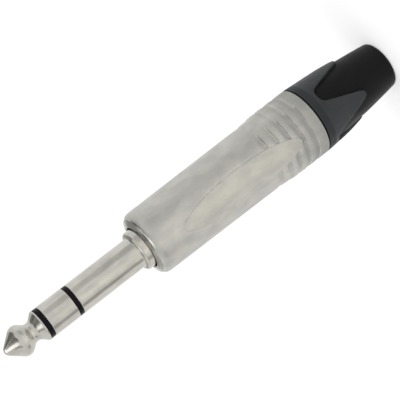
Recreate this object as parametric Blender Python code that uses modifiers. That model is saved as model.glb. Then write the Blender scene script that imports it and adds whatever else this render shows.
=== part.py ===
"""Stereo jack plug, 6.35 mm, standing on the end of its boot with the tip up.

The plug is a stack of turned and moulded pieces on one axis. Every size is in
millimetres. A distance runs along that axis from the point of the tip towards
the cable, and height() turns it into a height above the boot's end.
"""

import math

import bmesh
import bpy
from mathutils import Matrix, Vector

MM = 0.001
FIT = 0.05
SLIDING_FIT = 0.1
CUT_MARGIN = 1.0
FINE_SIDES = 48
PLAIN_SIDES = 36
SMALLEST_STEP = 0.01
SMALL_ROUND = 0.5
COARSE_ARC_STEPS = 2
FINE_ARC_STEPS = 4
SMOOTH_ANGLE = math.radians(35)

# Finger: the part that goes into the socket
FINGER_RADIUS = 3.175
FINGER_EDGE_ROUND = 0.1
TIP_LENGTH = 8.35
TIP_NOSE_RADIUS = 1.2
TIP_CONE_ANGLE = math.radians(40)
TIP_CREST_DISTANCE = 3.7
TIP_CREST_ROUND = 1.7
TIP_LAND_LENGTH = 0.3
NECK_DISTANCE = 6.25
NECK_RADIUS = 1.95
NECK_ROUND = 1.25
TIP_INSULATOR_LENGTH = 0.95
RING_LENGTH = 5.8
RING_INSULATOR_LENGTH = 0.85
INSULATOR_INSET = 0.04
SLEEVE_LENGTH = 14.5
ROD_RADIUS = 0.9
TUBE_WALL = 0.45
COLLAR_RADIUS = 4.135
COLLAR_LENGTH = 1.5
COLLAR_ROUND = 0.55
FLANGE_THICKNESS = 1.6
SPIGOT_INSET = 1.55
SPIGOT_LENGTH = 2.5

# Shell
SHELL_LENGTH = 40.8
SHELL_WAIST_RADIUS = 6.85
SHELL_NOSE_TAPER = 0.2
SHELL_GRIP_RISE = 0.35
SHELL_NOSE_ROUND = 2.05
SHELL_WALL = 1.1
SHELL_FRONT_WALL = 2.55
SHELL_OPENING_GAP = 0.3
SHELL_OPENING_ROUND = 0.15
SHELL_END_ROUND = 0.15
WAIST_TO_END = 12.6
FLARE_LENGTH = 5.2
THREAD_WALL = 0.7
THREAD_DEPTH = 9.25
RIB_COUNT = 5
RIB_PITCH = 2.3
RIB_TO_END = 2.1
RIB_GROOVE_LENGTH = 1.5
RIB_GROOVE_DEPTH = 0.2
RIB_EDGE_LENGTH = 0.15
OVAL_DISTANCE = 22.0
OVAL_HALF_LENGTH = 13.8
OVAL_HALF_WIDTH = 3.15
OVAL_RISE = 0.06
OVAL_ROOT = 0.35

# Insert with its terminals
INSERT_LENGTH = 7.3
INSERT_ARM_LENGTH = 10.6
INSERT_ARM_WALL = 0.8
INSERT_ARM_DEPTH = 1.7
INSERT_RIM_LENGTH = 0.3
TERMINAL_THICKNESS = 0.4
TAG_EYE_RADIUS = 0.55
TAG_EYE_TO_END = 1.4
SLEEVE_WASHER_INSET = 0.2
SLEEVE_TAG_WIDTH = 3.0
SLEEVE_TAG_TO_CHUCK = 0.9
RING_WASHER_RADIUS = 3.3
RING_TAG_RADIUS = 3.5
RING_TAG_WIDTH = 2.4
RING_TAG_LENGTH = 8.0
TIP_WASHER_RADIUS = 2.2
TIP_TAG_RADIUS = 2.4
TIP_TAG_WIDTH = 2.0
TIP_TAG_LENGTH = 7.0
FLARED_END_RADIUS = 2.35
FLARED_END_LENGTH = 0.3
REAR_WASHER_RADIUS = 3.0
REAR_WASHER_LENGTH = 1.2
RIVET_RADIUS = 1.4
RIVET_LENGTH = 0.6
RIVET_ROUND = 0.3

# Chuck
CHUCK_SEAT_DEPTH = 0.45
CHUCK_CONE_LENGTH = 4.6
CHUCK_CONE_FALL = 0.8
CHUCK_WALL = 1.05
CHUCK_JAW_WALL = 1.75
CHUCK_JAW_LENGTH = 8.5
CHUCK_TOOTH_COUNT = 4
CHUCK_TOOTH_PITCH = 1.7
CHUCK_TOOTH_HEIGHT = 0.3
CHUCK_SLOT_COUNT = 4
CHUCK_SLOT_WIDTH = 1.2
CHUCK_SLOT_LENGTH = 12.0

# Boot
BUSHING_PROUD = 0.02
BUSHING_EDGE_ROUND = 0.2
BUSHING_RING_LENGTH = 2.55
BUSHING_SPIGOT_LENGTH = 8.0
PRONG_COUNT = 4
PRONG_LENGTH = 8.75
PRONG_TAPER = 0.71
PRONG_WALL = 0.6
PRONG_TURN = math.radians(-5)
PRONG_TIP_HALF_WIDTH = 1.4
PRONG_TIP_ROUND = 2.0
PRONG_TIP_BULGE = 0.12
VALLEY_HALF_WIDTH = 1.3
VALLEY_ROUND = 1.5
VALLEY_WAIST_HALF_WIDTH = 3.25
VALLEY_WAIST_TO_RING = 5.0
VALLEY_WAIST_ROUND = 8.0
VALLEY_CUT_START = 0.5
GLAND_LENGTH = 17.1
GLAND_TAPER = 1.0
GLAND_END_ROUND = 0.7
GLAND_CROWN = 0.05
GLAND_WALL = 1.46
GLAND_LEAD_LENGTH = 4.0
GLAND_LEAD_WIDTH = 1.2

# Distances from the point of the tip, each from the piece before it
TIP_INSULATOR_START = TIP_LENGTH + FIT
RING_START = TIP_INSULATOR_START + TIP_INSULATOR_LENGTH
RING_INSULATOR_START = RING_START + RING_LENGTH
SLEEVE_START = RING_INSULATOR_START + RING_INSULATOR_LENGTH
COLLAR_START = SLEEVE_START + SLEEVE_LENGTH
SHELL_START = COLLAR_START + COLLAR_LENGTH
SHELL_END = SHELL_START + SHELL_LENGTH
FLANGE_START = SHELL_START + SHELL_FRONT_WALL + FIT
FLANGE_END = FLANGE_START + FLANGE_THICKNESS
SLEEVE_TERMINAL_START = FLANGE_END + FIT
INSERT_START = SLEEVE_TERMINAL_START + TERMINAL_THICKNESS + FIT
INSERT_END = INSERT_START + INSERT_LENGTH
RING_TERMINAL_START = INSERT_END + FIT
FLARED_END_START = RING_TERMINAL_START + TERMINAL_THICKNESS + FIT
REAR_WASHER_START = FLARED_END_START + FLARED_END_LENGTH + FIT
TIP_TERMINAL_START = REAR_WASHER_START + REAR_WASHER_LENGTH + FIT
RIVET_START = TIP_TERMINAL_START + TERMINAL_THICKNESS + FIT
CHUCK_START = INSERT_END + INSERT_ARM_LENGTH + FIT
BUSHING_START = SHELL_END + SLIDING_FIT
RING_END = BUSHING_START + BUSHING_RING_LENGTH
CHUCK_END = RING_END - CHUCK_SEAT_DEPTH
PRONG_END = RING_END + PRONG_LENGTH
GLAND_START = RING_END + FIT
PLUG_LENGTH = GLAND_START + GLAND_LENGTH

# Radii of the tubes that are nested inside the finger
TIP_INSULATOR_BORE = ROD_RADIUS + FIT
TIP_TUBE_RADIUS = TIP_INSULATOR_BORE + TUBE_WALL
RING_BORE = TIP_TUBE_RADIUS + FIT
RING_TUBE_RADIUS = RING_BORE + TUBE_WALL
RING_INSULATOR_BORE = RING_TUBE_RADIUS + FIT
RING_INSULATOR_RADIUS = RING_INSULATOR_BORE + TUBE_WALL
SLEEVE_BORE = RING_INSULATOR_RADIUS + FIT

# Radii that follow from the shell's
SHELL_NOSE_RADIUS = SHELL_WAIST_RADIUS - SHELL_NOSE_TAPER
SHELL_BORE = SHELL_WAIST_RADIUS - SHELL_WALL
SHELL_GRIP_RADIUS = SHELL_WAIST_RADIUS + SHELL_GRIP_RISE
THREAD_BORE = SHELL_GRIP_RADIUS - THREAD_WALL
OPENING_RADIUS = COLLAR_RADIUS + SHELL_OPENING_GAP
SPIGOT_RADIUS = SHELL_BORE - SPIGOT_INSET
INSERT_RADIUS = SHELL_BORE - FIT
INSERT_WINDOW_HALF_WIDTH = INSERT_RADIUS - INSERT_ARM_DEPTH
SLEEVE_WASHER_RADIUS = INSERT_RADIUS - SLEEVE_WASHER_INSET
CHUCK_RADIUS = SHELL_BORE - SLIDING_FIT
CHUCK_BORE = CHUCK_RADIUS - CHUCK_WALL
CHUCK_JAW_BORE = CHUCK_RADIUS - CHUCK_JAW_WALL
CHUCK_CONE_END_RADIUS = CHUCK_RADIUS - CHUCK_CONE_FALL
BUSHING_BORE = CHUCK_RADIUS + SLIDING_FIT
BUSHING_RADIUS = SHELL_GRIP_RADIUS + BUSHING_PROUD
PRONG_END_RADIUS = BUSHING_RADIUS - PRONG_TAPER
GLAND_RECESS = PRONG_WALL + FIT
GLAND_END_RADIUS = PRONG_END_RADIUS - GLAND_RECESS - GLAND_TAPER
GLAND_BORE = GLAND_END_RADIUS - GLAND_WALL

COLLECTION_NAME = "stereo_jack_plug"
CUTTER_COLLECTION_NAME = "cutters"


def height(distance):
    """Height above the boot's end, in millimetres, of a distance from the tip."""
    return PLUG_LENGTH - distance


def new_collection(name):
    """Make a collection in the scene."""
    collection = bpy.data.collections.new(name)
    bpy.context.scene.collection.children.link(collection)
    return collection


def new_material(name, colour, roughness, metallic=0.0):
    """Make a plain Principled material."""
    material = bpy.data.materials.new(name)
    material.use_nodes = True
    shader = material.node_tree.nodes["Principled BSDF"]
    shader.inputs["Base Color"].default_value = (*colour, 1.0)
    shader.inputs["Roughness"].default_value = roughness
    shader.inputs["Metallic"].default_value = metallic
    material.diffuse_color = (*colour, 1.0)
    return material


def new_object(name, mesh, collection, material=None):
    """Put a mesh in the scene as an object."""
    piece = bpy.data.objects.new(name, mesh)
    collection.objects.link(piece)
    if material:
        mesh.materials.append(material)
    return piece


def fillet(before, corner, after, radius):
    """Points of the arc that rounds a corner, no longer than the sides allow."""
    steps = COARSE_ARC_STEPS if radius < SMALL_ROUND else FINE_ARC_STEPS
    to_before = before - corner
    to_after = after - corner
    half_angle = to_before.angle(to_after) / 2
    reach = min(radius / math.tan(half_angle), to_before.length, to_after.length)
    radius = reach * math.tan(half_angle)
    bisector = (to_before.normalized() + to_after.normalized()).normalized()
    centre = corner + bisector * (radius / math.sin(half_angle))
    start = corner + to_before.normalized() * reach - centre
    end = corner + to_after.normalized() * reach - centre
    sweep = start.angle_signed(end)
    first = math.atan2(start.y, start.x)
    points = []
    for step in range(steps + 1):
        angle = first - sweep * step / steps
        points.append(centre + radius * Vector((math.cos(angle), math.sin(angle))))
    return points


def rounded(corners):
    """Closed outline through (across, along) or (across, along, fillet) corners."""
    places = [Vector(corner[:2]) for corner in corners]
    rounds = [corner[2] if len(corner) == 3 else 0.0 for corner in corners]
    points = []
    for index, place in enumerate(places):
        arc = [place]
        if rounds[index]:
            after = (index + 1) % len(places)
            shares = [rounds[index] / (rounds[index] + rounds[other]) for other in (index - 1, after)]
            before_end = place.lerp(places[index - 1], shares[0])
            after_end = place.lerp(places[after], shares[1])
            arc = fillet(before_end, place, after_end, rounds[index])
        for point in arc:
            if not points or (point - points[-1]).length > SMALLEST_STEP:
                points.append(point)
    return points


def turned(name, corners, collection, material=None, sides=FINE_SIDES, on_axis=False):
    """Turn an outline of (radius, distance) corners about the plug's axis."""
    points = rounded(corners)
    mesh = bpy.data.meshes.new(name)
    spots = [(point.x * MM, 0.0, height(point.y) * MM) for point in points]
    count = len(spots)
    edges = [(index, index + 1) for index in range(count - 1)]
    if not on_axis:
        edges.append((count - 1, 0))
    mesh.from_pydata(spots, edges, [])
    piece = new_object(name, mesh, collection, material)
    screw = piece.modifiers.new("turn", "SCREW")
    screw.axis = "Z"
    screw.angle = math.tau
    screw.steps = sides
    screw.render_steps = sides
    screw.use_merge_vertices = True
    screw.merge_threshold = 0.000005
    return piece


def block(name, low, high, collection, material=None):
    """A box between two corners in millimetres."""
    mesh = bpy.data.meshes.new(name)
    cage = bmesh.new()
    bmesh.ops.create_cube(cage, size=1.0)
    low = Vector(low)
    high = Vector(high)
    size = high - low
    bmesh.ops.scale(cage, vec=size * MM, verts=cage.verts)
    bmesh.ops.translate(cage, vec=(low + high) / 2 * MM, verts=cage.verts)
    cage.to_mesh(mesh)
    cage.free()
    return new_object(name, mesh, collection, material)


def cross_pin(name, radius, centre, reach, collection, sides=16):
    """A cylinder along Y, for a cross hole."""
    mesh = bpy.data.meshes.new(name)
    cage = bmesh.new()
    turn = Matrix.Rotation(math.pi / 2, 4, "X")
    place = Matrix.Translation(Vector(centre) * MM)
    bmesh.ops.create_cone(
        cage,
        cap_ends=True,
        segments=sides,
        radius1=radius * MM,
        radius2=radius * MM,
        depth=2 * reach * MM,
        matrix=place @ turn,
    )
    cage.to_mesh(mesh)
    cage.free()
    return new_object(name, mesh, collection)


def combine(piece, other, operation):
    """Boolean of a piece with another object, which stays as a hidden guide."""
    other.hide_render = True
    other.display_type = "WIRE"
    step = piece.modifiers.new(operation.lower(), "BOOLEAN")
    step.operation = operation
    step.solver = "EXACT"
    step.object = other


def shade(piece, smooth_angle=SMOOTH_ANGLE):
    """Freeze the modifiers into the mesh and shade its round faces smooth."""
    graph = bpy.context.evaluated_depsgraph_get()
    mesh = bpy.data.meshes.new_from_object(piece.evaluated_get(graph))
    piece.modifiers.clear()
    piece.data = mesh
    mesh.shade_smooth()
    mesh.set_sharp_from_angle(angle=smooth_angle)


def make_tip_contact(parts, metal):
    """Pointed tip, neck and the rod that runs back to the tip's terminal."""
    nose_reach = TIP_NOSE_RADIUS * math.tan((math.pi / 2 - TIP_CONE_ANGLE) / 2)
    crest_radius = nose_reach + TIP_CREST_DISTANCE * math.tan(TIP_CONE_ANGLE)
    neck_cut = NECK_ROUND * (1 / math.cos(TIP_CONE_ANGLE) - 1)
    rod_end = RIVET_START + RIVET_LENGTH
    corners = [
        (0.0, 0.0),
        (nose_reach, 0.0, TIP_NOSE_RADIUS),
        (crest_radius, TIP_CREST_DISTANCE, TIP_CREST_ROUND),
        (NECK_RADIUS - neck_cut, NECK_DISTANCE, NECK_ROUND),
        (FINGER_RADIUS, TIP_LENGTH - TIP_LAND_LENGTH, TIP_LAND_LENGTH),
        (FINGER_RADIUS, TIP_LENGTH),
        (ROD_RADIUS, TIP_LENGTH),
        (ROD_RADIUS, RIVET_START),
        (RIVET_RADIUS, RIVET_START),
        (RIVET_RADIUS, rod_end, RIVET_ROUND),
        (0.0, rod_end),
    ]
    return turned("tip_contact", corners, parts, metal, PLAIN_SIDES, on_axis=True)


def make_tip_insulator(parts, plastic):
    """Dark disc behind the tip, one piece with the tube around the rod."""
    radius = FINGER_RADIUS - INSULATOR_INSET
    disc_end = RING_START - FIT
    tube_end = REAR_WASHER_START + REAR_WASHER_LENGTH
    corners = [
        (radius, TIP_INSULATOR_START),
        (radius, disc_end),
        (TIP_TUBE_RADIUS, disc_end),
        (TIP_TUBE_RADIUS, tube_end),
        (TIP_INSULATOR_BORE, tube_end),
        (TIP_INSULATOR_BORE, TIP_INSULATOR_START),
    ]
    return turned("tip_insulator", corners, parts, plastic, PLAIN_SIDES)


def make_ring_contact(parts, metal):
    """Middle contact, one piece with its tube and the tube's flared end."""
    body_end = RING_INSULATOR_START - FIT
    flare_end = FLARED_END_START + FLARED_END_LENGTH
    corners = [
        (FINGER_RADIUS, RING_START, FINGER_EDGE_ROUND),
        (FINGER_RADIUS, body_end, FINGER_EDGE_ROUND),
        (RING_TUBE_RADIUS, body_end),
        (RING_TUBE_RADIUS, FLARED_END_START),
        (FLARED_END_RADIUS, FLARED_END_START),
        (FLARED_END_RADIUS, flare_end),
        (RING_BORE, flare_end),
        (RING_BORE, RING_START),
    ]
    return turned("ring_contact", corners, parts, metal, PLAIN_SIDES)


def make_ring_insulator(parts, plastic):
    """Dark disc behind the ring, one piece with the tube inside the sleeve."""
    radius = FINGER_RADIUS - INSULATOR_INSET
    disc_end = SLEEVE_START - FIT
    corners = [
        (radius, RING_INSULATOR_START),
        (radius, disc_end),
        (RING_INSULATOR_RADIUS, disc_end),
        (RING_INSULATOR_RADIUS, INSERT_END),
        (RING_INSULATOR_BORE, INSERT_END),
        (RING_INSULATOR_BORE, RING_INSULATOR_START),
    ]
    return turned("ring_insulator", corners, parts, plastic, PLAIN_SIDES)


def make_sleeve_contact(parts, metal):
    """Barrel, rounded collar, seating flange and the spigot for the insert."""
    spigot_end = FLANGE_END + SPIGOT_LENGTH
    corners = [
        (FINGER_RADIUS, SLEEVE_START, FINGER_EDGE_ROUND),
        (FINGER_RADIUS, COLLAR_START),
        (COLLAR_RADIUS, COLLAR_START, COLLAR_ROUND),
        (COLLAR_RADIUS, FLANGE_START),
        (SHELL_BORE - FIT, FLANGE_START),
        (SHELL_BORE - FIT, FLANGE_END),
        (SPIGOT_RADIUS, FLANGE_END),
        (SPIGOT_RADIUS, spigot_end),
        (SLEEVE_BORE, spigot_end),
        (SLEEVE_BORE, SLEEVE_START),
    ]
    return turned("sleeve_contact", corners, parts, metal, PLAIN_SIDES)


def shell_radius(distance):
    """Outer radius of the shell without its grooves, behind the nose."""
    waist = SHELL_END - WAIST_TO_END
    if distance <= waist:
        start = SHELL_START + SHELL_NOSE_ROUND
        share = (distance - start) / (waist - start)
        return SHELL_NOSE_RADIUS + share * (SHELL_WAIST_RADIUS - SHELL_NOSE_RADIUS)
    share = min((distance - waist) / FLARE_LENGTH, 1.0)
    return SHELL_WAIST_RADIUS + share * (SHELL_GRIP_RADIUS - SHELL_WAIST_RADIUS)


def rib_edges():
    """Distances of the steep rear edge of each groove in the grip, front one first."""
    last = SHELL_END - RIB_TO_END
    return [last - RIB_PITCH * index for index in reversed(range(RIB_COUNT))]


def groove_depth(distance):
    """Depth of the grip's grooves: each slopes down and ends in a steep edge."""
    for edge in rib_edges():
        before = edge - distance
        if 0 <= before <= RIB_GROOVE_LENGTH:
            slope = (RIB_GROOVE_LENGTH - before) / (RIB_GROOVE_LENGTH - RIB_EDGE_LENGTH)
            return RIB_GROOVE_DEPTH * min(before / RIB_EDGE_LENGTH, 1 - (1 - slope) ** 2)
    return 0.0


def shell_skin():
    """Distances at which the shell's outside changes its slope, without grooves."""
    waist = SHELL_END - WAIST_TO_END
    return [SHELL_START + SHELL_NOSE_ROUND, waist, waist + FLARE_LENGTH, SHELL_END]


def grip_corners():
    """Corners of the shell's outside from its waist to its last groove."""
    waist = SHELL_END - WAIST_TO_END
    middle_to_edge = (RIB_GROOVE_LENGTH + RIB_EDGE_LENGTH) / 2
    distances = [waist]
    for edge in rib_edges():
        steps = (RIB_GROOVE_LENGTH, middle_to_edge, RIB_EDGE_LENGTH, 0.0)
        distances += [edge - step for step in steps]
    return [(shell_radius(at) - groove_depth(at), at) for at in sorted(distances)]


def make_oval(guides):
    """The smooth oval fields on two opposite sides, as one pair of pads."""
    skin = shell_skin()
    outer = [(shell_radius(at) + OVAL_RISE, at) for at in skin]
    inner = [(shell_radius(at) - OVAL_ROOT, at) for at in reversed(skin)]
    pads = turned("oval_fields", outer + inner, guides)
    centre = (0.0, 0.0, height(SHELL_START + OVAL_DISTANCE))
    reach = SHELL_GRIP_RADIUS + CUT_MARGIN
    outline = cross_pin("oval_outline", 1.0, (0.0, 0.0, 0.0), reach, guides, 36)
    stretch = Matrix.Diagonal((OVAL_HALF_WIDTH, 1.0, OVAL_HALF_LENGTH, 1.0))
    outline.data.transform(Matrix.Translation(Vector(centre) * MM) @ stretch)
    combine(pads, outline, "INTERSECT")
    return pads


def make_shell(parts, guides, metal):
    """Housing with its rounded nose, stepped bore, grip ribs and oval fields."""
    bore_start = SHELL_START + SHELL_FRONT_WALL
    thread_start = SHELL_END - THREAD_DEPTH
    corners = [
        (OPENING_RADIUS, SHELL_START, SHELL_OPENING_ROUND),
        (SHELL_NOSE_RADIUS, SHELL_START, SHELL_NOSE_ROUND),
        *grip_corners(),
        (SHELL_GRIP_RADIUS, SHELL_END, SHELL_END_ROUND),
        (THREAD_BORE, SHELL_END, SHELL_END_ROUND),
        (THREAD_BORE, thread_start),
        (SHELL_BORE, thread_start),
        (SHELL_BORE, bore_start),
        (OPENING_RADIUS, bore_start),
    ]
    shell = turned("shell", corners, parts, metal)
    combine(shell, make_oval(guides), "UNION")
    return shell


def make_insert_body(parts, guides, plastic):
    """Moulded carrier around the spigot, with two arms that the chuck seats on."""
    arm_end = INSERT_END + INSERT_ARM_LENGTH
    pocket_end = FLANGE_END + SPIGOT_LENGTH + FIT
    tube_bore = RING_INSULATOR_RADIUS + FIT
    corners = [
        (INSERT_RADIUS, INSERT_START),
        (INSERT_RADIUS, arm_end),
        (INSERT_RADIUS - INSERT_ARM_WALL, arm_end),
        (INSERT_RADIUS - INSERT_ARM_WALL, INSERT_END),
        (tube_bore, INSERT_END),
        (tube_bore, pocket_end),
        (SPIGOT_RADIUS + FIT, pocket_end),
        (SPIGOT_RADIUS + FIT, INSERT_START),
    ]
    insert = turned("insert_body", corners, parts, plastic, PLAIN_SIDES)
    reach = SHELL_BORE + CUT_MARGIN
    window = block(
        "insert_window",
        (-INSERT_WINDOW_HALF_WIDTH, -reach, height(arm_end + CUT_MARGIN)),
        (INSERT_WINDOW_HALF_WIDTH, reach, height(INSERT_END + INSERT_RIM_LENGTH)),
        guides,
    )
    combine(insert, window, "DIFFERENCE")
    tag_inside = SLEEVE_WASHER_RADIUS - TERMINAL_THICKNESS
    half_width = SLEEVE_TAG_WIDTH / 2 + FIT
    channel = block(
        "tag_channel",
        (-half_width, -reach, height(INSERT_END + CUT_MARGIN)),
        (half_width, FIT - tag_inside, height(INSERT_START - CUT_MARGIN)),
        guides,
    )
    combine(insert, channel, "DIFFERENCE")
    return insert


def make_terminal(name, washer, tag, side, parts, guides, metal):
    """Solder terminal: a washer on the axis with a tag bent back from its rim.

    washer is (bore, radius, start); tag is (inner face, width, length); side is
    1.0 for +Y and -1.0 for -Y.
    """
    bore, radius, start = washer
    inside, width, length = tag
    end = start + TERMINAL_THICKNESS
    corners = [(radius, start), (radius, end), (bore, end), (bore, start)]
    terminal = turned(name, corners, parts, metal, PLAIN_SIDES)
    outside = inside + TERMINAL_THICKNESS
    root = (bore + radius) / 2
    foot = block(
        name + "_foot",
        (-width / 2, min(side * root, side * outside), height(end)),
        (width / 2, max(side * root, side * outside), height(start)),
        guides,
    )
    strip = block(
        name + "_strip",
        (-width / 2, min(side * inside, side * outside), height(start + length)),
        (width / 2, max(side * inside, side * outside), height(start)),
        guides,
    )
    eye_centre = (0.0, side * inside, height(start + length - TAG_EYE_TO_END))
    eye = cross_pin(name + "_eye", TAG_EYE_RADIUS, eye_centre, CUT_MARGIN, guides)
    combine(terminal, foot, "UNION")
    combine(terminal, strip, "UNION")
    combine(terminal, eye, "DIFFERENCE")
    return terminal


def make_rear_washer(parts, plastic):
    """Insulating washer between the ring's and the tip's terminals."""
    end = REAR_WASHER_START + REAR_WASHER_LENGTH
    corners = [
        (REAR_WASHER_RADIUS, REAR_WASHER_START),
        (REAR_WASHER_RADIUS, end),
        (TIP_TUBE_RADIUS + FIT, end),
        (TIP_TUBE_RADIUS + FIT, REAR_WASHER_START),
    ]
    return turned("rear_washer", corners, parts, plastic, PLAIN_SIDES)


def tooth_corners():
    """Corners of the gripping teeth inside the jaws, from the rear forward."""
    corners = []
    for index in range(CHUCK_TOOTH_COUNT):
        crest = CHUCK_END - CHUCK_TOOTH_PITCH * (index + 0.5)
        foot = crest - CHUCK_TOOTH_PITCH / 2
        corners.append((CHUCK_JAW_BORE - CHUCK_TOOTH_HEIGHT, crest))
        corners.append((CHUCK_JAW_BORE, foot))
    return corners


def make_chuck(parts, guides, plastic):
    """Collet around the cable: a ring in front, slotted jaws and a cone behind."""
    cone_start = CHUCK_END - CHUCK_CONE_LENGTH
    jaw_start = CHUCK_END - CHUCK_JAW_LENGTH
    corners = [
        (CHUCK_RADIUS, CHUCK_START),
        (CHUCK_RADIUS, cone_start),
        (CHUCK_CONE_END_RADIUS, CHUCK_END),
        (CHUCK_JAW_BORE, CHUCK_END),
        *tooth_corners(),
        (CHUCK_JAW_BORE, jaw_start),
        (CHUCK_BORE, jaw_start - (CHUCK_BORE - CHUCK_JAW_BORE)),
        (CHUCK_BORE, CHUCK_START),
    ]
    chuck = turned("chuck", corners, parts, plastic, PLAIN_SIDES)
    slot_top = height(CHUCK_END - CHUCK_SLOT_LENGTH)
    for index in range(CHUCK_SLOT_COUNT):
        slot = block(
            f"chuck_slot_{index + 1}",
            (0.0, -CHUCK_SLOT_WIDTH / 2, height(CHUCK_END + CUT_MARGIN)),
            (CHUCK_RADIUS + CUT_MARGIN, CHUCK_SLOT_WIDTH / 2, slot_top),
            guides,
        )
        turn = math.tau * (index + 0.5) / CHUCK_SLOT_COUNT
        slot.data.transform(Matrix.Rotation(turn, 4, "Z"))
        combine(chuck, slot, "DIFFERENCE")
    return chuck


def bushing_radius(distance):
    """Outer radius of the bushing's ring and prongs."""
    share = (distance - BUSHING_START) / (PRONG_END - BUSHING_START)
    return BUSHING_RADIUS + share * (PRONG_END_RADIUS - BUSHING_RADIUS)


def make_valley(name, turn, guides):
    """Cutter for the space between two prongs, with sides that stay radial."""
    reference = PRONG_END_RADIUS
    half_gap = reference * math.tan(math.pi / PRONG_COUNT)
    widest = half_gap - PRONG_TIP_HALF_WIDTH / 4
    half = [
        (VALLEY_HALF_WIDTH, RING_END, VALLEY_ROUND),
        (VALLEY_WAIST_HALF_WIDTH, RING_END + VALLEY_WAIST_TO_RING, VALLEY_WAIST_ROUND),
        (half_gap - PRONG_TIP_HALF_WIDTH, PRONG_END - PRONG_TIP_BULGE, PRONG_TIP_ROUND),
        (widest, PRONG_END + PRONG_TIP_BULGE),
        (widest, PRONG_END + CUT_MARGIN),
    ]
    mirrored = [(-corner[0], *corner[1:]) for corner in reversed(half)]
    outline = rounded(half + mirrored)
    cage = bmesh.new()
    corners = [
        cage.verts.new((reference * MM, point.x * MM, height(point.y) * MM))
        for point in outline
    ]
    face = cage.faces.new(corners)
    grown = bmesh.ops.extrude_face_region(cage, geom=[face])
    outer = [item for item in grown["geom"] if isinstance(item, bmesh.types.BMVert)]
    inner_scale = VALLEY_CUT_START
    outer_scale = (BUSHING_RADIUS + CUT_MARGIN) / reference
    bmesh.ops.scale(cage, vec=(inner_scale, inner_scale, 1.0), verts=corners)
    bmesh.ops.scale(cage, vec=(outer_scale, outer_scale, 1.0), verts=outer)
    bmesh.ops.recalc_face_normals(cage, faces=cage.faces)
    bmesh.ops.rotate(cage, matrix=Matrix.Rotation(turn, 3, "Z"), verts=cage.verts)
    mesh = bpy.data.meshes.new(name)
    cage.to_mesh(mesh)
    cage.free()
    return new_object(name, mesh, guides)


def make_bushing(parts, guides, plastic):
    """Hard nut of the boot: spigot, cone seat for the chuck and four prongs."""
    spigot_start = BUSHING_START - BUSHING_SPIGOT_LENGTH
    spigot_radius = THREAD_BORE - SLIDING_FIT
    seat_start = CHUCK_END - CHUCK_CONE_LENGTH
    seat_end_radius = CHUCK_CONE_END_RADIUS + SLIDING_FIT
    corners = [
        (spigot_radius, spigot_start),
        (spigot_radius, BUSHING_START),
        (BUSHING_RADIUS, BUSHING_START, BUSHING_EDGE_ROUND),
        (PRONG_END_RADIUS, PRONG_END, BUSHING_EDGE_ROUND),
        (PRONG_END_RADIUS - PRONG_WALL, PRONG_END),
        (bushing_radius(RING_END) - PRONG_WALL, RING_END),
        (seat_end_radius, RING_END),
        (seat_end_radius, CHUCK_END),
        (BUSHING_BORE, seat_start),
        (BUSHING_BORE, spigot_start),
    ]
    bushing = turned("bushing", corners, parts, plastic)
    for index in range(PRONG_COUNT):
        turn = PRONG_TURN + math.tau * (index + 0.5) / PRONG_COUNT
        valley = make_valley(f"valley_{index + 1}", turn, guides)
        combine(bushing, valley, "DIFFERENCE")
    return bushing


def gland_radius(distance):
    """Outer radius of the gland: under the prongs first, then tapering away."""
    if distance <= PRONG_END:
        return bushing_radius(distance) - GLAND_RECESS
    start = PRONG_END_RADIUS - GLAND_RECESS
    share = (distance - PRONG_END) / (PLUG_LENGTH - PRONG_END)
    crown = 4 * GLAND_CROWN * share * (1 - share)
    return start + share * (GLAND_END_RADIUS - start) + crown


def make_gland(parts, rubber):
    """Soft boot inside the prongs, with a lead-in and the cable's passage."""
    steps = 3
    tail = []
    for step in range(steps):
        distance = PRONG_END + (PLUG_LENGTH - PRONG_END) * step / steps
        tail.append((gland_radius(distance), distance))
    corners = [
        (gland_radius(GLAND_START), GLAND_START),
        *tail,
        (GLAND_END_RADIUS, PLUG_LENGTH, GLAND_END_ROUND),
        (GLAND_BORE, PLUG_LENGTH),
        (GLAND_BORE, GLAND_START + GLAND_LEAD_LENGTH),
        (GLAND_BORE + GLAND_LEAD_WIDTH, GLAND_START),
    ]
    return turned("gland", corners, parts, rubber)


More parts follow.
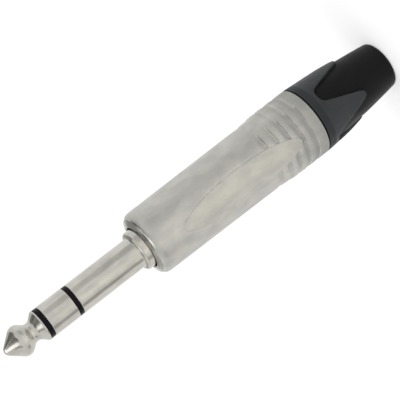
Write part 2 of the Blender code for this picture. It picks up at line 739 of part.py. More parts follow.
def make_plug():
    """Model the whole plug."""
    for item in list(bpy.data.objects):
        bpy.data.objects.remove(item, do_unlink=True)
    parts = new_collection(COLLECTION_NAME)
    guides = new_collection(CUTTER_COLLECTION_NAME)
    satin_nickel = new_material("satin_nickel", (0.47, 0.46, 0.42), 0.38, 1.0)
    bright_nickel = new_material("bright_nickel", (0.55, 0.54, 0.5), 0.24, 1.0)
    tinned_brass = new_material("tinned_brass", (0.62, 0.58, 0.46), 0.35, 1.0)
    dark_plastic = new_material("dark_plastic", (0.012, 0.013, 0.016), 0.4)
    insert_plastic = new_material("insert_plastic", (0.03, 0.03, 0.032), 0.5)
    chuck_plastic = new_material("chuck_plastic", (0.6, 0.6, 0.56), 0.45)
    boot_plastic = new_material("boot_plastic", (0.03, 0.034, 0.038), 0.45)
    boot_rubber = new_material("boot_rubber", (0.014, 0.016, 0.015), 0.6)

    pieces = [
        make_shell(parts, guides, satin_nickel),
        make_tip_contact(parts, bright_nickel),
        make_tip_insulator(parts, dark_plastic),
        make_ring_contact(parts, bright_nickel),
        make_ring_insulator(parts, dark_plastic),
        make_sleeve_contact(parts, bright_nickel),
        make_insert_body(parts, guides, insert_plastic),
        make_rear_washer(parts, dark_plastic),
        make_chuck(parts, guides, chuck_plastic),
        make_bushing(parts, guides, boot_plastic),
        make_gland(parts, boot_rubber),
    ]
    sleeve_washer = (SPIGOT_RADIUS + FIT, SLEEVE_WASHER_RADIUS, SLEEVE_TERMINAL_START)
    sleeve_tag_radius = SLEEVE_WASHER_RADIUS - TERMINAL_THICKNESS
    sleeve_tag_length = CHUCK_START - SLEEVE_TAG_TO_CHUCK - SLEEVE_TERMINAL_START
    sleeve_tag = (sleeve_tag_radius, SLEEVE_TAG_WIDTH, sleeve_tag_length)
    ring_washer = (RING_TUBE_RADIUS + FIT, RING_WASHER_RADIUS, RING_TERMINAL_START)
    ring_tag = (RING_TAG_RADIUS, RING_TAG_WIDTH, RING_TAG_LENGTH)
    tip_washer = (ROD_RADIUS + FIT, TIP_WASHER_RADIUS, TIP_TERMINAL_START)
    tip_tag = (TIP_TAG_RADIUS, TIP_TAG_WIDTH, TIP_TAG_LENGTH)
    terminals = [
        ("sleeve_terminal", sleeve_washer, sleeve_tag, -1.0),
        ("ring_terminal", ring_washer, ring_tag, 1.0),
        ("tip_terminal", tip_washer, tip_tag, -1.0),
    ]
    for name, washer, tag, side in terminals:
        pieces.append(make_terminal(name, washer, tag, side, parts, guides, tinned_brass))
    for piece in pieces:
        shade(piece)


make_plug()
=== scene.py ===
# %% [markdown]
# # A stereo jack plug, dressed for the camera
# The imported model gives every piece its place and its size. This script makes the
# surfaces that a viewer sees: turned nickel, a die-cast shell with grip ribs, dark
# rings, and a boot of hard and soft plastic. The model is loaded first and stays as
# it is, and each finer piece stands exactly where its plain solid does.

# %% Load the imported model
import math

import bmesh
import bpy
from mathutils import Matrix, Vector


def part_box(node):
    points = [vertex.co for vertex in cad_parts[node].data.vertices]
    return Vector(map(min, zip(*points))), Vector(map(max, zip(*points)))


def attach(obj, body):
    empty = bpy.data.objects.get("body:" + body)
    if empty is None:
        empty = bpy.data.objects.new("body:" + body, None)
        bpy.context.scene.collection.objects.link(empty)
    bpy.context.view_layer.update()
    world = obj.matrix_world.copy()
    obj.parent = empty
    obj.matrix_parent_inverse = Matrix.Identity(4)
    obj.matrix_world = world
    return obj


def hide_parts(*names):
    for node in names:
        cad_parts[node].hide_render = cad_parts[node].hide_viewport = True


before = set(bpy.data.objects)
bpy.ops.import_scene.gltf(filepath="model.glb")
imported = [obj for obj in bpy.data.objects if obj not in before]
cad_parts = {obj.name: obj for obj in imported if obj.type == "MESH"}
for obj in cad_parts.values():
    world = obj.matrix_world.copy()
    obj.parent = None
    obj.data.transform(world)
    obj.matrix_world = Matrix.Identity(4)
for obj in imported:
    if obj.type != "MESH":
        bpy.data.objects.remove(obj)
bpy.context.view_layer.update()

MM = 0.001

# %% [markdown]
# ## Measures that come from the model
# The plug stands on its boot with the tip up, as it would on a bench. On a drawing of
# a plug, lengths are counted from the tip, so the script does the same: `height`
# turns such a distance into a height above the floor. Where a piece begins and ends
# is read from the box of its solid, and never typed in twice. Neighbours on the finger
# keep a small clearance, `FIT`. The gap between shell and boot is a little wider than
# in the model, because the photograph shows it as a dark line.

# %% Distances from the tip
def extent(node):
    """Lowest and highest point of a node, in millimetres above the floor."""
    low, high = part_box(node)
    return low.z / MM, high.z / MM


PLUG_LENGTH = extent("tip_contact")[1]


def height(distance):
    """Height above the floor of a distance from the tip, in millimetres."""
    return PLUG_LENGTH - distance


def starts_at(node):
    """Distance from the tip to the near end of a node."""
    return PLUG_LENGTH - extent(node)[1]


def ends_at(node):
    """Distance from the tip to the far end of a node."""
    return PLUG_LENGTH - extent(node)[0]


FIT = 0.05
JUNCTION_GAP = 0.28
TIP_END = starts_at("tip_insulator") - FIT
RING_START = starts_at("ring_contact")
RING_INSULATOR_START = starts_at("ring_insulator")
SLEEVE_START = starts_at("sleeve_contact")
SHELL_START = starts_at("shell")
SHELL_END = ends_at("shell")
BUSHING_START = SHELL_END + JUNCTION_GAP
PRONG_END = ends_at("bushing")
GLAND_START = starts_at("gland")
print(f"shell from {SHELL_START:.2f} to {SHELL_END:.2f} mm, plug {PLUG_LENGTH:.2f} mm")

# %% [markdown]
# ## The camera
# The photograph looks down on the plug from beyond its tip, with the plug running
# from the lower left to the upper right. Here the plug stands upright, so the camera
# is rolled instead. A long lens keeps the perspective as weak as it is in the photo.

# %% Camera
CAMERA_AZIMUTH = math.radians(-70.0)
CAMERA_DISTANCE = 300.0
CAMERA_HEIGHT = 135.2
CAMERA_LENS = 149.9
CAMERA_ROLL = math.radians(-127.627)
AIM_HEIGHT = 45.99
AIM_SIDEWAYS = -0.371
SENSOR_WIDTH = 36.0
NEAREST_SEEN = 10.0
FARTHEST_SEEN = 20000.0


def place_object(name, data):
    """Object that shows a mesh, a camera or a lamp in the scene."""
    thing = bpy.data.objects.new(name, data)
    bpy.context.scene.collection.objects.link(thing)
    return thing


def make_camera():
    """Camera that looks at the plug's middle and is rolled about its own axis."""
    towards = Vector((math.cos(CAMERA_AZIMUTH), math.sin(CAMERA_AZIMUTH), 0.0))
    up = Vector((0.0, 0.0, 1.0))
    place = towards * CAMERA_DISTANCE + up * CAMERA_HEIGHT
    aim = towards.cross(up) * AIM_SIDEWAYS + up * AIM_HEIGHT
    look = (aim - place).normalized()
    right = look.cross(up).normalized()
    level = right.cross(look)
    across = math.cos(CAMERA_ROLL) * right + math.sin(CAMERA_ROLL) * level
    upward = math.cos(CAMERA_ROLL) * level - math.sin(CAMERA_ROLL) * right
    camera = place_object("camera", bpy.data.cameras.new("camera"))
    camera.data.lens = CAMERA_LENS
    camera.data.sensor_width = SENSOR_WIDTH
    camera.data.clip_start = NEAREST_SEEN * MM
    camera.data.clip_end = FARTHEST_SEEN * MM
    axes = Matrix((across, upward, -look)).transposed().to_4x4()
    camera.matrix_world = Matrix.Translation(place * MM) @ axes
    bpy.context.scene.camera = camera
    return camera


camera = make_camera()
bpy.context.scene.view_settings.view_transform = "Standard"
print("camera", [round(value, 3) for value in camera.location])

# %% [markdown]
# ## Writing node trees
# Materials and Geometry Nodes are both trees of nodes. Written out node by node and
# link by link, they are long and hard to read. A few helpers keep them short: `add`
# makes a node and joins it up, `calc` does a sum, `ramp` blends between two values,
# and `new_group` starts a group with named sockets.

# %% Helpers for node trees
SOCKET_KINDS = {
    "float": "NodeSocketFloat",
    "int": "NodeSocketInt",
    "geometry": "NodeSocketGeometry",
    "material": "NodeSocketMaterial",
}


def add(tree, kind, inputs=None, **settings):
    """Add a node. Each input takes a plain value or another node's output."""
    node = tree.nodes.new(kind)
    for name, value in settings.items():
        setattr(node, name, value)
    for key, value in (inputs or {}).items():
        if isinstance(value, bpy.types.NodeSocket):
            tree.links.new(value, node.inputs[key])
        else:
            node.inputs[key].default_value = value
    return node


def calc(tree, operation, *values):
    """Output of a Math node."""
    return add(tree, "ShaderNodeMath", dict(enumerate(values)), operation=operation).outputs[0]


def parts_of(tree, vector):
    """Outputs with the X, Y and Z of a vector."""
    return add(tree, "ShaderNodeSeparateXYZ", {0: vector}).outputs


def length_of(tree, across, along):
    """Output that is the length of a vector with two parts."""
    squares = [calc(tree, "MULTIPLY", part, part) for part in (across, along)]
    return calc(tree, "SQRT", calc(tree, "ADD", *squares))


def product(tree, first, *others):
    """Output that multiplies all its values."""
    for other in others:
        first = calc(tree, "MULTIPLY", first, other)
    return first


def ramp(tree, value, low, high, to_low=0.0, to_high=1.0, smooth=True):
    """Output of a Map Range node that is held at both ends."""
    inputs = {0: value, 1: low, 2: high, 3: to_low, 4: to_high}
    kind = "SMOOTHSTEP" if smooth else "LINEAR"
    return add(tree, "ShaderNodeMapRange", inputs, interpolation_type=kind).outputs[0]


def new_group(name, kind, takes, gives):
    """Start a node group. takes is {name: (kind, default)} and gives is {name: kind}."""
    tree = bpy.data.node_groups.new(name, kind)
    for label, (sort, default) in takes.items():
        socket = tree.interface.new_socket(label, in_out="INPUT", socket_type=SOCKET_KINDS[sort])
        if default is not None:
            socket.default_value = default
    for label, sort in gives.items():
        tree.interface.new_socket(label, in_out="OUTPUT", socket_type=SOCKET_KINDS[sort])
    source = tree.nodes.new("NodeGroupInput").outputs
    target = tree.nodes.new("NodeGroupOutput").inputs
    return tree, source, target


# %% [markdown]
# ## Turning an outline
# Almost every piece of the plug comes from a lathe. A Screw modifier would do, but a
# Geometry Nodes tree can also crowd its columns where a surface needs fine detail.
# The tree lays out a flat grid, gives each row one point of the outline and each
# column one angle, and then closes the seam. Like every tree here, it ends with
# Realize Instances and Set Material, because the export drops instances.

# %% Geometry Nodes: a turned skin
TURNED_SIDES = 128
MERGE_DISTANCE = 0.001


def finished(tree, source, geometry, merged=False):
    """Last nodes of each tree: copies made real, doubles merged and the material set."""
    last = add(tree, "GeometryNodeRealizeInstances", {0: geometry}).outputs[0]
    if merged:
        doubles = {"Geometry": last, "Distance": MERGE_DISTANCE * MM}
        last = add(tree, "GeometryNodeMergeByDistance", doubles).outputs[0]
    dressed = {"Geometry": last, "Material": source["Material"]}
    return add(tree, "GeometryNodeSetMaterial", dressed).outputs[0]


def build_turned_skin():
    """Tree that turns the points of its mesh, in order, about the Z axis."""
    takes = {
        "Outline": ("geometry", None),
        "Sides": ("int", TURNED_SIDES),
        "Crowding": ("float", 0.0),
        "Material": ("material", None),
    }
    tree, source, target = new_group("Turned skin", "GeometryNodeTree", takes, {"Skin": "geometry"})
    count = add(tree, "GeometryNodeAttributeDomainSize", {0: source["Outline"]}, component="MESH")
    rows = count.outputs["Point Count"]
    columns = calc(tree, "ADD", source["Sides"], 1.0)
    size = {"Size X": 1.0, "Size Y": 1.0, "Vertices X": columns, "Vertices Y": rows}
    grid = add(tree, "GeometryNodeMeshGrid", size).outputs[0]
    position = add(tree, "GeometryNodeInputPosition").outputs[0]
    spot = parts_of(tree, position)

    # A wave twice round the axis crowds the columns where they face +Y and -Y
    turn = calc(tree, "MULTIPLY", calc(tree, "ADD", spot["X"], 0.5), math.tau)
    wave = calc(tree, "SINE", calc(tree, "MULTIPLY", turn, 2.0))
    angle = calc(tree, "ADD", turn, calc(tree, "MULTIPLY", wave, source["Crowding"]))

    # Each row of the grid takes its radius and its height from one point
    last = calc(tree, "SUBTRACT", rows, 1.0)
    row = calc(tree, "ROUND", calc(tree, "MULTIPLY", calc(tree, "ADD", spot["Y"], 0.5), last))
    wanted = {"Geometry": source["Outline"], "Value": position, "Index": row}
    sample = add(tree, "GeometryNodeSampleIndex", wanted, data_type="FLOAT_VECTOR", domain="POINT")
    point = parts_of(tree, sample.outputs[0])
    x = calc(tree, "MULTIPLY", point["X"], calc(tree, "COSINE", angle))
    y = calc(tree, "MULTIPLY", point["X"], calc(tree, "SINE", angle))
    place = add(tree, "ShaderNodeCombineXYZ", {0: x, 1: y, 2: point["Z"]}).outputs[0]
    skin = add(tree, "GeometryNodeSetPosition", {"Geometry": grid, "Position": place}).outputs[0]
    tree.links.new(finished(tree, source, skin, merged=True), target["Skin"])
    return tree


TURNED_SKIN = build_turned_skin()
print("nodes of the turned skin:", len(TURNED_SKIN.nodes))

# %% [markdown]
# ## Outlines with rounded corners
# A turned outline is a list of (radius, distance) corners, and a third number rounds
# the corner. A real edge is never quite sharp, and it is the thin highlight along
# each small round that makes metal look like metal. A Bevel modifier could round the
# edges too, but here each corner keeps a radius of its own.

# %% Helpers for rounded outlines
ARC_STEP = math.radians(11.0)
LONGEST_REACH = 0.99


def fillet(before, corner, after, radius):
    """Points of the arc that rounds one corner."""
    to_before = before - corner
    to_after = after - corner
    half_angle = to_before.angle(to_after) / 2
    longest = LONGEST_REACH * min(to_before.length, to_after.length)
    reach = min(radius / math.tan(half_angle), longest)
    radius = reach * math.tan(half_angle)
    bisector = (to_before.normalized() + to_after.normalized()).normalized()
    centre = corner + bisector * (radius / math.sin(half_angle))
    start = corner + to_before.normalized() * reach - centre
    end = corner + to_after.normalized() * reach - centre
    sweep = start.angle_signed(end)
    steps = max(2, round(abs(sweep) / ARC_STEP))
    first = math.atan2(start.y, start.x)
    angles = [first - sweep * step / steps for step in range(steps + 1)]
    return [centre + radius * Vector((math.cos(angle), math.sin(angle))) for angle in angles]


def rounded(corners, closed=True):
    """Points of an outline of (radius, distance) or (radius, distance, round) corners."""
    places = [Vector(corner[:2]) for corner in corners]
    points = []
    for index, corner in enumerate(corners):
        inner = closed or 0 < index < len(corners) - 1
        if len(corner) == 3 and inner:
            after = places[(index + 1) % len(places)]
            points += fillet(places[index - 1], places[index], after, corner[2])
        else:
            points.append(places[index])
    return points + points[:1] if closed else points


# %% [markdown]
# ## From a tree to a finished piece
# The trees work as modifiers on a small mesh, such as the points of an outline. Once
# a shape is done, the live result is swapped for a plain mesh, so that nothing later
# can change it. Then the piece rides on a body of the model and takes the place of a
# plain solid.

# %% Helpers for finishing a piece
SHARP_ANGLE = math.radians(40.0)
DOUBLE_DISTANCE = 0.0001


def set_input(modifier, label, value):
    """Set a Geometry Nodes modifier's input through its socket's identifier."""
    for item in modifier.node_group.interface.items_tree:
        if item.item_type == "SOCKET" and item.in_out == "INPUT" and item.name == label:
            modifier[item.identifier] = value
            return
    raise KeyError(label)


def add_tree(piece, tree, **values):
    """Add a Geometry Nodes modifier with values for its named inputs."""
    modifier = piece.modifiers.new(tree.name, "NODES")
    modifier.node_group = tree
    for label, value in values.items():
        set_input(modifier, label.replace("_", " "), value)


def made_real(piece):
    """Swap a piece's live modifiers for the plain mesh that they make."""
    graph = bpy.context.evaluated_depsgraph_get()
    mesh = bpy.data.meshes.new_from_object(piece.evaluated_get(graph))
    piece.modifiers.clear()
    piece.data = mesh
    cage = bmesh.new()
    cage.from_mesh(mesh)
    bmesh.ops.remove_doubles(cage, verts=cage.verts, dist=DOUBLE_DISTANCE * MM)
    bmesh.ops.recalc_face_normals(cage, faces=cage.faces)
    cage.to_mesh(mesh)
    cage.free()
    mesh.shade_smooth()
    mesh.set_sharp_from_angle(angle=SHARP_ANGLE)
    return piece


def stand_for(piece, body, node):
    """Let a finished piece ride on a body and stand for a node of the model."""
    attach(piece, body)
    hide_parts(node)
    print(f"{piece.name}: {len(piece.data.polygons)} faces stand for {node}")


def outline_object(name, points):
    """Object whose mesh is the points of an outline, in order."""
    mesh = bpy.data.meshes.new(name)
    mesh.from_pydata([(point.x * MM, 0.0, height(point.y) * MM) for point in points], [], [])
    return place_object(name, mesh)


def turned(name, points, material):
    """Finished piece turned from an outline."""
    piece = outline_object(name, points)
    add_tree(piece, TURNED_SKIN, Material=material)
    return made_real(piece)


# %% [markdown]
# ## Finishes that several materials share
# A finish is a shader. What more than one of them needs is a node group: fine grain
# from blasting or moulding, the fine rings that a turning tool leaves, and the soft
# smudges of handling. Pictures could carry them, but noise has no seams and can be
# set to any size. Each group gives a height or a mask, and every material places the
# groups with values of its own.

# %% Shader groups
SMUDGE_START = 0.35
SMUDGE_FULL = 0.65
MARKS_LOW = 0.3
MARKS_HIGH = 0.7


def object_place(tree):
    """Output with a point's place on the piece, in metres."""
    return add(tree, "ShaderNodeTexCoord").outputs["Object"]


def build_grain():
    """Fine even grain: a height that changes from point to point."""
    takes = {"Scale": ("float", 9.0), "Roughness": ("float", 0.6)}
    tree, source, target = new_group("Fine grain", "ShaderNodeTree", takes, {"Height": "float"})
    inputs = {
        "Vector": object_place(tree),
        "Scale": calc(tree, "MULTIPLY", source["Scale"], 1 / MM),
        "Detail": 4.0,
        "Roughness": source["Roughness"],
    }
    tree.links.new(add(tree, "ShaderNodeTexNoise", inputs).outputs[0], target["Height"])
    return tree


def build_smudges():
    """Soft patches of a given size in millimetres, stretched along the plug's axis."""
    takes = {"Size": ("float", 4.0), "Stretch": ("float", 3.0)}
    tree, source, target = new_group("Smudges", "ShaderNodeTree", takes, {"Mask": "float"})
    per_metre = calc(tree, "DIVIDE", 1 / MM, source["Size"])
    along = calc(tree, "DIVIDE", per_metre, source["Stretch"])
    scale = add(tree, "ShaderNodeCombineXYZ", {0: per_metre, 1: per_metre, 2: along}).outputs[0]
    factors = {0: object_place(tree), 1: scale}
    spot = add(tree, "ShaderNodeVectorMath", factors, operation="MULTIPLY").outputs[0]
    noise = add(tree, "ShaderNodeTexNoise", {"Vector": spot, "Scale": 1.0, "Detail": 3.0})
    tree.links.new(ramp(tree, noise.outputs[0], SMUDGE_START, SMUDGE_FULL), target["Mask"])
    return tree


def build_turning_marks():
    """Fine rings round the axis, as a lathe tool leaves them."""
    takes = {"Pitch": ("float", 0.12), "Wander": ("float", 0.3)}
    tree, source, target = new_group("Turning marks", "ShaderNodeTree", takes, {"Height": "float"})
    spot = parts_of(tree, object_place(tree))
    along = calc(tree, "DIVIDE", calc(tree, "MULTIPLY", spot["Z"], 1 / MM), source["Pitch"])
    across = calc(tree, "MULTIPLY", source["Wander"], 1 / MM)
    x, y = [calc(tree, "MULTIPLY", spot[axis], across) for axis in ("X", "Y")]
    line = add(tree, "ShaderNodeCombineXYZ", {0: x, 1: y, 2: along}).outputs[0]
    inputs = {"Vector": line, "Scale": 1.0, "Detail": 3.0, "Roughness": 0.7}
    tree.links.new(add(tree, "ShaderNodeTexNoise", inputs).outputs[0], target["Height"])
    return tree


FINE_GRAIN = build_grain()
SMUDGES = build_smudges()
TURNING_MARKS = build_turning_marks()
print("shared finishes:", [group.name for group in (FINE_GRAIN, SMUDGES, TURNING_MARKS)])

# %% Helpers for materials
def place_group(tree, group, **values):
    """Place a shader group in a material with its own values."""
    node = add(tree, "ShaderNodeGroup", node_tree=group)
    for label, value in values.items():
        node.inputs[label].default_value = value
    return node.outputs[0]


def blend_colours(tree, mask, *shades):
    """Output of a Mix node between two shades, which may be colours or outputs."""
    first, second = [
        shade if isinstance(shade, bpy.types.NodeSocket) else (*shade, 1.0) for shade in shades
    ]
    inputs = {0: mask, 6: first, 7: second}
    return add(tree, "ShaderNodeMix", inputs, data_type="RGBA").outputs[2]


def start_material(name, **plain):
    """Material with a Principled shader and its plain values."""
    material = bpy.data.materials.new(name)
    material.use_nodes = True
    tree = material.node_tree
    shader = tree.nodes["Principled BSDF"]
    for label, value in plain.items():
        shader.inputs[label.replace("_", " ")].default_value = value
    return material, tree, shader


def bump(tree, shader, relief, depth, normal=None):
    """Bump the shader's normal. depth is the relief's full height in millimetres."""
    inputs = {"Height": relief, "Distance": depth * MM, "Strength": 1.0}
    node = add(tree, "ShaderNodeBump", inputs)
    if normal:
        tree.links.new(normal, node.inputs["Normal"])
    tree.links.new(node.outputs[0], shader.inputs["Normal"])
    return node.outputs[0]


# %% [markdown]
# ## Nickel, satin and bright
# The shell is die cast, blasted and nickel plated: a soft satin with a hint of warmth,
# and a little creamier inside its oval fields. Its front face is turned afterwards and
# shines. The finger is nickel on turned brass, with sharper reflections. The shell
# could have a material for each finish, but then its mesh would need a cut between
# them. One material that asks where a point lies can blend them softly.

# %% Places on the shell where its finish changes
NOSE_TO_OVAL = 21.4
OVAL_DISTANCE = SHELL_START + NOSE_TO_OVAL
OVAL_HALF_LENGTH = 14.4
OVAL_HALF_WIDTH = 3.15
SHELL_NOSE_ROUND = 2.05
FACE_ANGLE = math.radians(40)
FACE_DEPTH = SHELL_NOSE_ROUND * (1 - math.cos(FACE_ANGLE))
print(f"middle of the oval fields {OVAL_DISTANCE:.2f} mm from the tip, face {FACE_DEPTH:.2f} mm deep")

# %% Nickel finishes
SATIN_SHADES = ((0.455, 0.451, 0.425), (0.514, 0.503, 0.464))
FIELD_SHADES = ((0.463, 0.455, 0.419), (0.519, 0.506, 0.459))
BRIGHT_SHADES = ((0.457, 0.447, 0.411), (0.535, 0.523, 0.474))
SATIN_ROUGHNESS = (0.4, 0.47)
BRIGHT_ROUGHNESS = (0.15, 0.24)
FACE_ROUGHNESS = 0.16
FIELD_FADE = 0.94
SHINE_ENDS = 0.34
SHINE_FULL = 0.16


def make_satin_nickel():
    """Blasted nickel of the shell, creamier in its oval fields, bright on its turned face."""
    material, tree, shader = start_material("satin_nickel", Metallic=1.0)
    spot = parts_of(tree, object_place(tree))
    u = calc(tree, "DIVIDE", spot["X"], OVAL_HALF_WIDTH * MM)
    high = calc(tree, "SUBTRACT", spot["Z"], height(OVAL_DISTANCE) * MM)
    v = calc(tree, "DIVIDE", high, OVAL_HALF_LENGTH * MM)
    inside = ramp(tree, length_of(tree, u, v), FIELD_FADE, 1.0, 1.0, 0.0)
    tint = place_group(tree, SMUDGES, Size=2.2, Stretch=1.6)
    shades = [blend_colours(tree, tint, *pair) for pair in (SATIN_SHADES, FIELD_SHADES)]
    tree.links.new(blend_colours(tree, inside, *shades), shader.inputs["Base Color"])
    face = height(SHELL_START + FACE_DEPTH)
    turned_face = ramp(tree, spot["Z"], (face - SHINE_ENDS) * MM, (face - SHINE_FULL) * MM)
    soft = place_group(tree, SMUDGES, Size=1.4, Stretch=4.0)
    satin = ramp(tree, soft, 0.0, 1.0, *SATIN_ROUGHNESS)
    rough = add(tree, "ShaderNodeMix", {0: turned_face, 2: satin, 3: FACE_ROUGHNESS}).outputs[0]
    tree.links.new(rough, shader.inputs["Roughness"])
    blasted = bump(tree, shader, place_group(tree, FINE_GRAIN, Scale=1.9), depth=0.045)
    bump(tree, shader, place_group(tree, FINE_GRAIN, Scale=7.0), depth=0.006, normal=blasted)
    return material


def make_bright_nickel():
    """Turned nickel of the contacts."""
    material, tree, shader = start_material("bright_nickel", Metallic=1.0)
    tint = place_group(tree, SMUDGES, Size=1.4, Stretch=2.5)
    tree.links.new(blend_colours(tree, tint, *BRIGHT_SHADES), shader.inputs["Base Color"])
    marks = place_group(tree, TURNING_MARKS, Pitch=0.09, Wander=0.25)
    tree.links.new(ramp(tree, marks, MARKS_LOW, MARKS_HIGH, *BRIGHT_ROUGHNESS), shader.inputs["Roughness"])
    handled = bump(tree, shader, place_group(tree, FINE_GRAIN, Scale=1.6), depth=0.01)
    bump(tree, shader, marks, depth=0.0012, normal=handled)
    return material


SATIN_NICKEL = make_satin_nickel()
BRIGHT_NICKEL = make_bright_nickel()
print("metals:", SATIN_NICKEL.name, BRIGHT_NICKEL.name)

# %% [markdown]
# ## Moulded plastics
# The rings between the contacts and the two parts of the boot are moulded. One even
# colour would look like a toy, so each plastic wavers between two close shades, with
# a fine grain. They differ in how they shine: the rings are smooth, the bushing has a
# satin shine, and the softer gland next to it is nearly black with a faint bloom.

# %% Plastics
def make_plastic(name, shades, roughness, grain, depth, gloss=0.5, sheen=0.0):
    """Moulded plastic: two close shades, a range of roughness, a grain and its depth."""
    material, tree, shader = start_material(name, Specular_IOR_Level=gloss, Sheen_Weight=sheen)
    tint = place_group(tree, SMUDGES, Size=2.5, Stretch=1.5)
    tree.links.new(blend_colours(tree, tint, *shades), shader.inputs["Base Color"])
    soft = place_group(tree, SMUDGES, Size=1.2, Stretch=2.0)
    tree.links.new(ramp(tree, soft, 0.0, 1.0, *roughness), shader.inputs["Roughness"])
    bump(tree, shader, place_group(tree, FINE_GRAIN, Scale=grain), depth)
    return material


RING_PLASTIC = make_plastic(
    "insulator_black",
    shades=((0.006, 0.006, 0.008), (0.008, 0.008, 0.011)),
    roughness=(0.25, 0.32),
    grain=6.0,
    depth=0.001,
    gloss=0.08,
)
BUSHING_PLASTIC = make_plastic(
    "bushing_grey",
    shades=((0.021, 0.025, 0.027), (0.027, 0.031, 0.033)),
    roughness=(0.42, 0.5),
    grain=5.0,
    depth=0.006,
    gloss=0.35,
)
GLAND_PLASTIC = make_plastic(
    "gland_black",
    shades=((0.0036, 0.0042, 0.004), (0.0048, 0.0054, 0.0052)),
    roughness=(0.46, 0.54),
    grain=4.0,
    depth=0.008,
    gloss=0.1,
    sheen=0.09,
)
print("plastics:", RING_PLASTIC.name, BUSHING_PLASTIC.name, GLAND_PLASTIC.name)

# %% [markdown]
# ## The finger
# Tip, ring and sleeve are turned from bar, with two dark insulators between them. The
# tip's cone, crest and neck are what a socket's spring holds on to. One outline with
# stripes of colour could show all that, but the real pieces are stacked on each other,
# so each gets an outline of its own, with a small round where two of them meet.

# %% Sizes of the finger
FINGER_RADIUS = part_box("ring_contact")[1].x / MM
TIP_NOSE_RADIUS = 1.2
TIP_CONE_ANGLE = math.radians(40)
TIP_CREST_DISTANCE = 3.7
TIP_CREST_ROUND = 1.7
TIP_LAND_LENGTH = 0.3
NECK_DISTANCE = 6.25
NECK_RADIUS = 1.95
NECK_ROUND = 1.25
EDGE_ROUND = 0.12
METAL_EDGE = 0.16
INSULATOR_EDGE = 0.06
INSULATOR_INSET = 0.04
CORE_RADIUS = 1.0
COLLAR_RADIUS = 4.135
COLLAR_LENGTH = 1.5
COLLAR_ROUND = 0.55
COLLAR_ROOT = 0.22
COLLAR_START = SHELL_START - COLLAR_LENGTH
HIDDEN_DEPTH = 2.5
print(f"finger {2 * FINGER_RADIUS:.2f} mm across, {COLLAR_START:.2f} mm long")

# %% Finger
def make_tip():
    """Pointed tip with its crest and neck."""
    # The nose's round begins on the axis, and the neck's corner lies deeper than its round
    nose_reach = TIP_NOSE_RADIUS * math.tan((math.pi / 2 - TIP_CONE_ANGLE) / 2)
    crest = nose_reach + TIP_CREST_DISTANCE * math.tan(TIP_CONE_ANGLE)
    neck = NECK_RADIUS - NECK_ROUND * (1 / math.cos(TIP_CONE_ANGLE) - 1)
    corners = [
        (0.0, 0.0),
        (nose_reach, 0.0, TIP_NOSE_RADIUS),
        (crest, TIP_CREST_DISTANCE, TIP_CREST_ROUND),
        (neck, NECK_DISTANCE, NECK_ROUND),
        (FINGER_RADIUS, TIP_END - TIP_LAND_LENGTH, TIP_LAND_LENGTH),
        (FINGER_RADIUS, TIP_END, EDGE_ROUND),
        (0.0, TIP_END),
    ]
    piece = turned("tip_skin", rounded(corners, closed=False), BRIGHT_NICKEL)
    stand_for(piece, "housing", "tip_contact")


def make_ring(node, end, radius, edge, material, slot):
    """One ring of the finger, from its node's near end to a given distance."""
    start = starts_at(node)
    corners = [
        (radius, start, edge),
        (radius, end, edge),
        (CORE_RADIUS, end),
        (CORE_RADIUS, start),
    ]
    stand_for(turned(node + "_skin", rounded(corners), material), "housing", node)


def make_sleeve():
    """Long barrel with the rounded collar, which goes on a little way into the shell."""
    end = SHELL_START + HIDDEN_DEPTH
    corners = [
        (FINGER_RADIUS, SLEEVE_START, METAL_EDGE),
        (FINGER_RADIUS, COLLAR_START, COLLAR_ROOT),
        (COLLAR_RADIUS, COLLAR_START, COLLAR_ROUND),
        (COLLAR_RADIUS, end),
        (CORE_RADIUS, end),
        (CORE_RADIUS, SLEEVE_START),
    ]
    piece = turned("sleeve_skin", rounded(corners), BRIGHT_NICKEL)
    stand_for(piece, "housing", "sleeve_contact")


make_tip()
dark_ring = (FINGER_RADIUS - INSULATOR_INSET, INSULATOR_EDGE, RING_PLASTIC, "insulator_plastic")
metal_ring = (FINGER_RADIUS, METAL_EDGE, BRIGHT_NICKEL, "contact_metal")
make_ring("tip_insulator", RING_START - FIT, *dark_ring)
make_ring("ring_contact", RING_INSULATOR_START - FIT, *metal_ring)
make_ring("ring_insulator", SLEEVE_START - FIT, *dark_ring)
make_sleeve()

# %% [markdown]
# ## The shell
# The shell is turned as well, but two of its forms aren't round: an oval field on each
# side, outlined by a fine line, and five grip ribs that meet that field. The outline
# below has its rows close together where those forms lie, so that they can be pressed
# in afterwards without a coarse edge.

# %% Sizes of the shell
SHELL_NOSE_RADIUS = 6.65
SHELL_WAIST_RADIUS = 6.85
SHELL_GRIP_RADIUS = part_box("shell")[1].x / MM
SHELL_BORE = 5.75
SHELL_FRONT_WALL = 2.55
OPENING_GAP = 0.3
OPENING_RADIUS = COLLAR_RADIUS + OPENING_GAP
OPENING_ROUND = 0.15
FACE_EDGE = 0.08
NOSE_STEPS = 9
SHELL_END_ROUND = 0.15
WAIST_TO_END = 12.6
FLARE_LENGTH = 5.2
THREAD_BORE = 6.5
THREAD_BORE_LENGTH = 9.25
RIB_COUNT = 5
RIB_PITCH = 2.3
RIB_TO_END = 2.1
GROOVE_LENGTH = 1.5
print(f"shell {2 * SHELL_GRIP_RADIUS:.2f} mm across its grip, with {RIB_COUNT} ribs")

# %% Rows of the shell's outline
FIRST_ROW = 1.5 * SHELL_NOSE_ROUND
ROW_STEP = 0.6
FIELD_ROW_STEP = 0.15
GROOVE_ROWS = 13
GROOVE_CROWDING = 1.7
CREST_SHARES = (0.06, 0.2, 0.45, 0.7)


def nose_point(angle):
    """(radius, distance) on the shell's nose, from 0 on its front to a right angle on its side."""
    across = SHELL_NOSE_RADIUS - SHELL_NOSE_ROUND * (1 - math.sin(angle))
    return across, SHELL_START + SHELL_NOSE_ROUND * (1 - math.cos(angle))


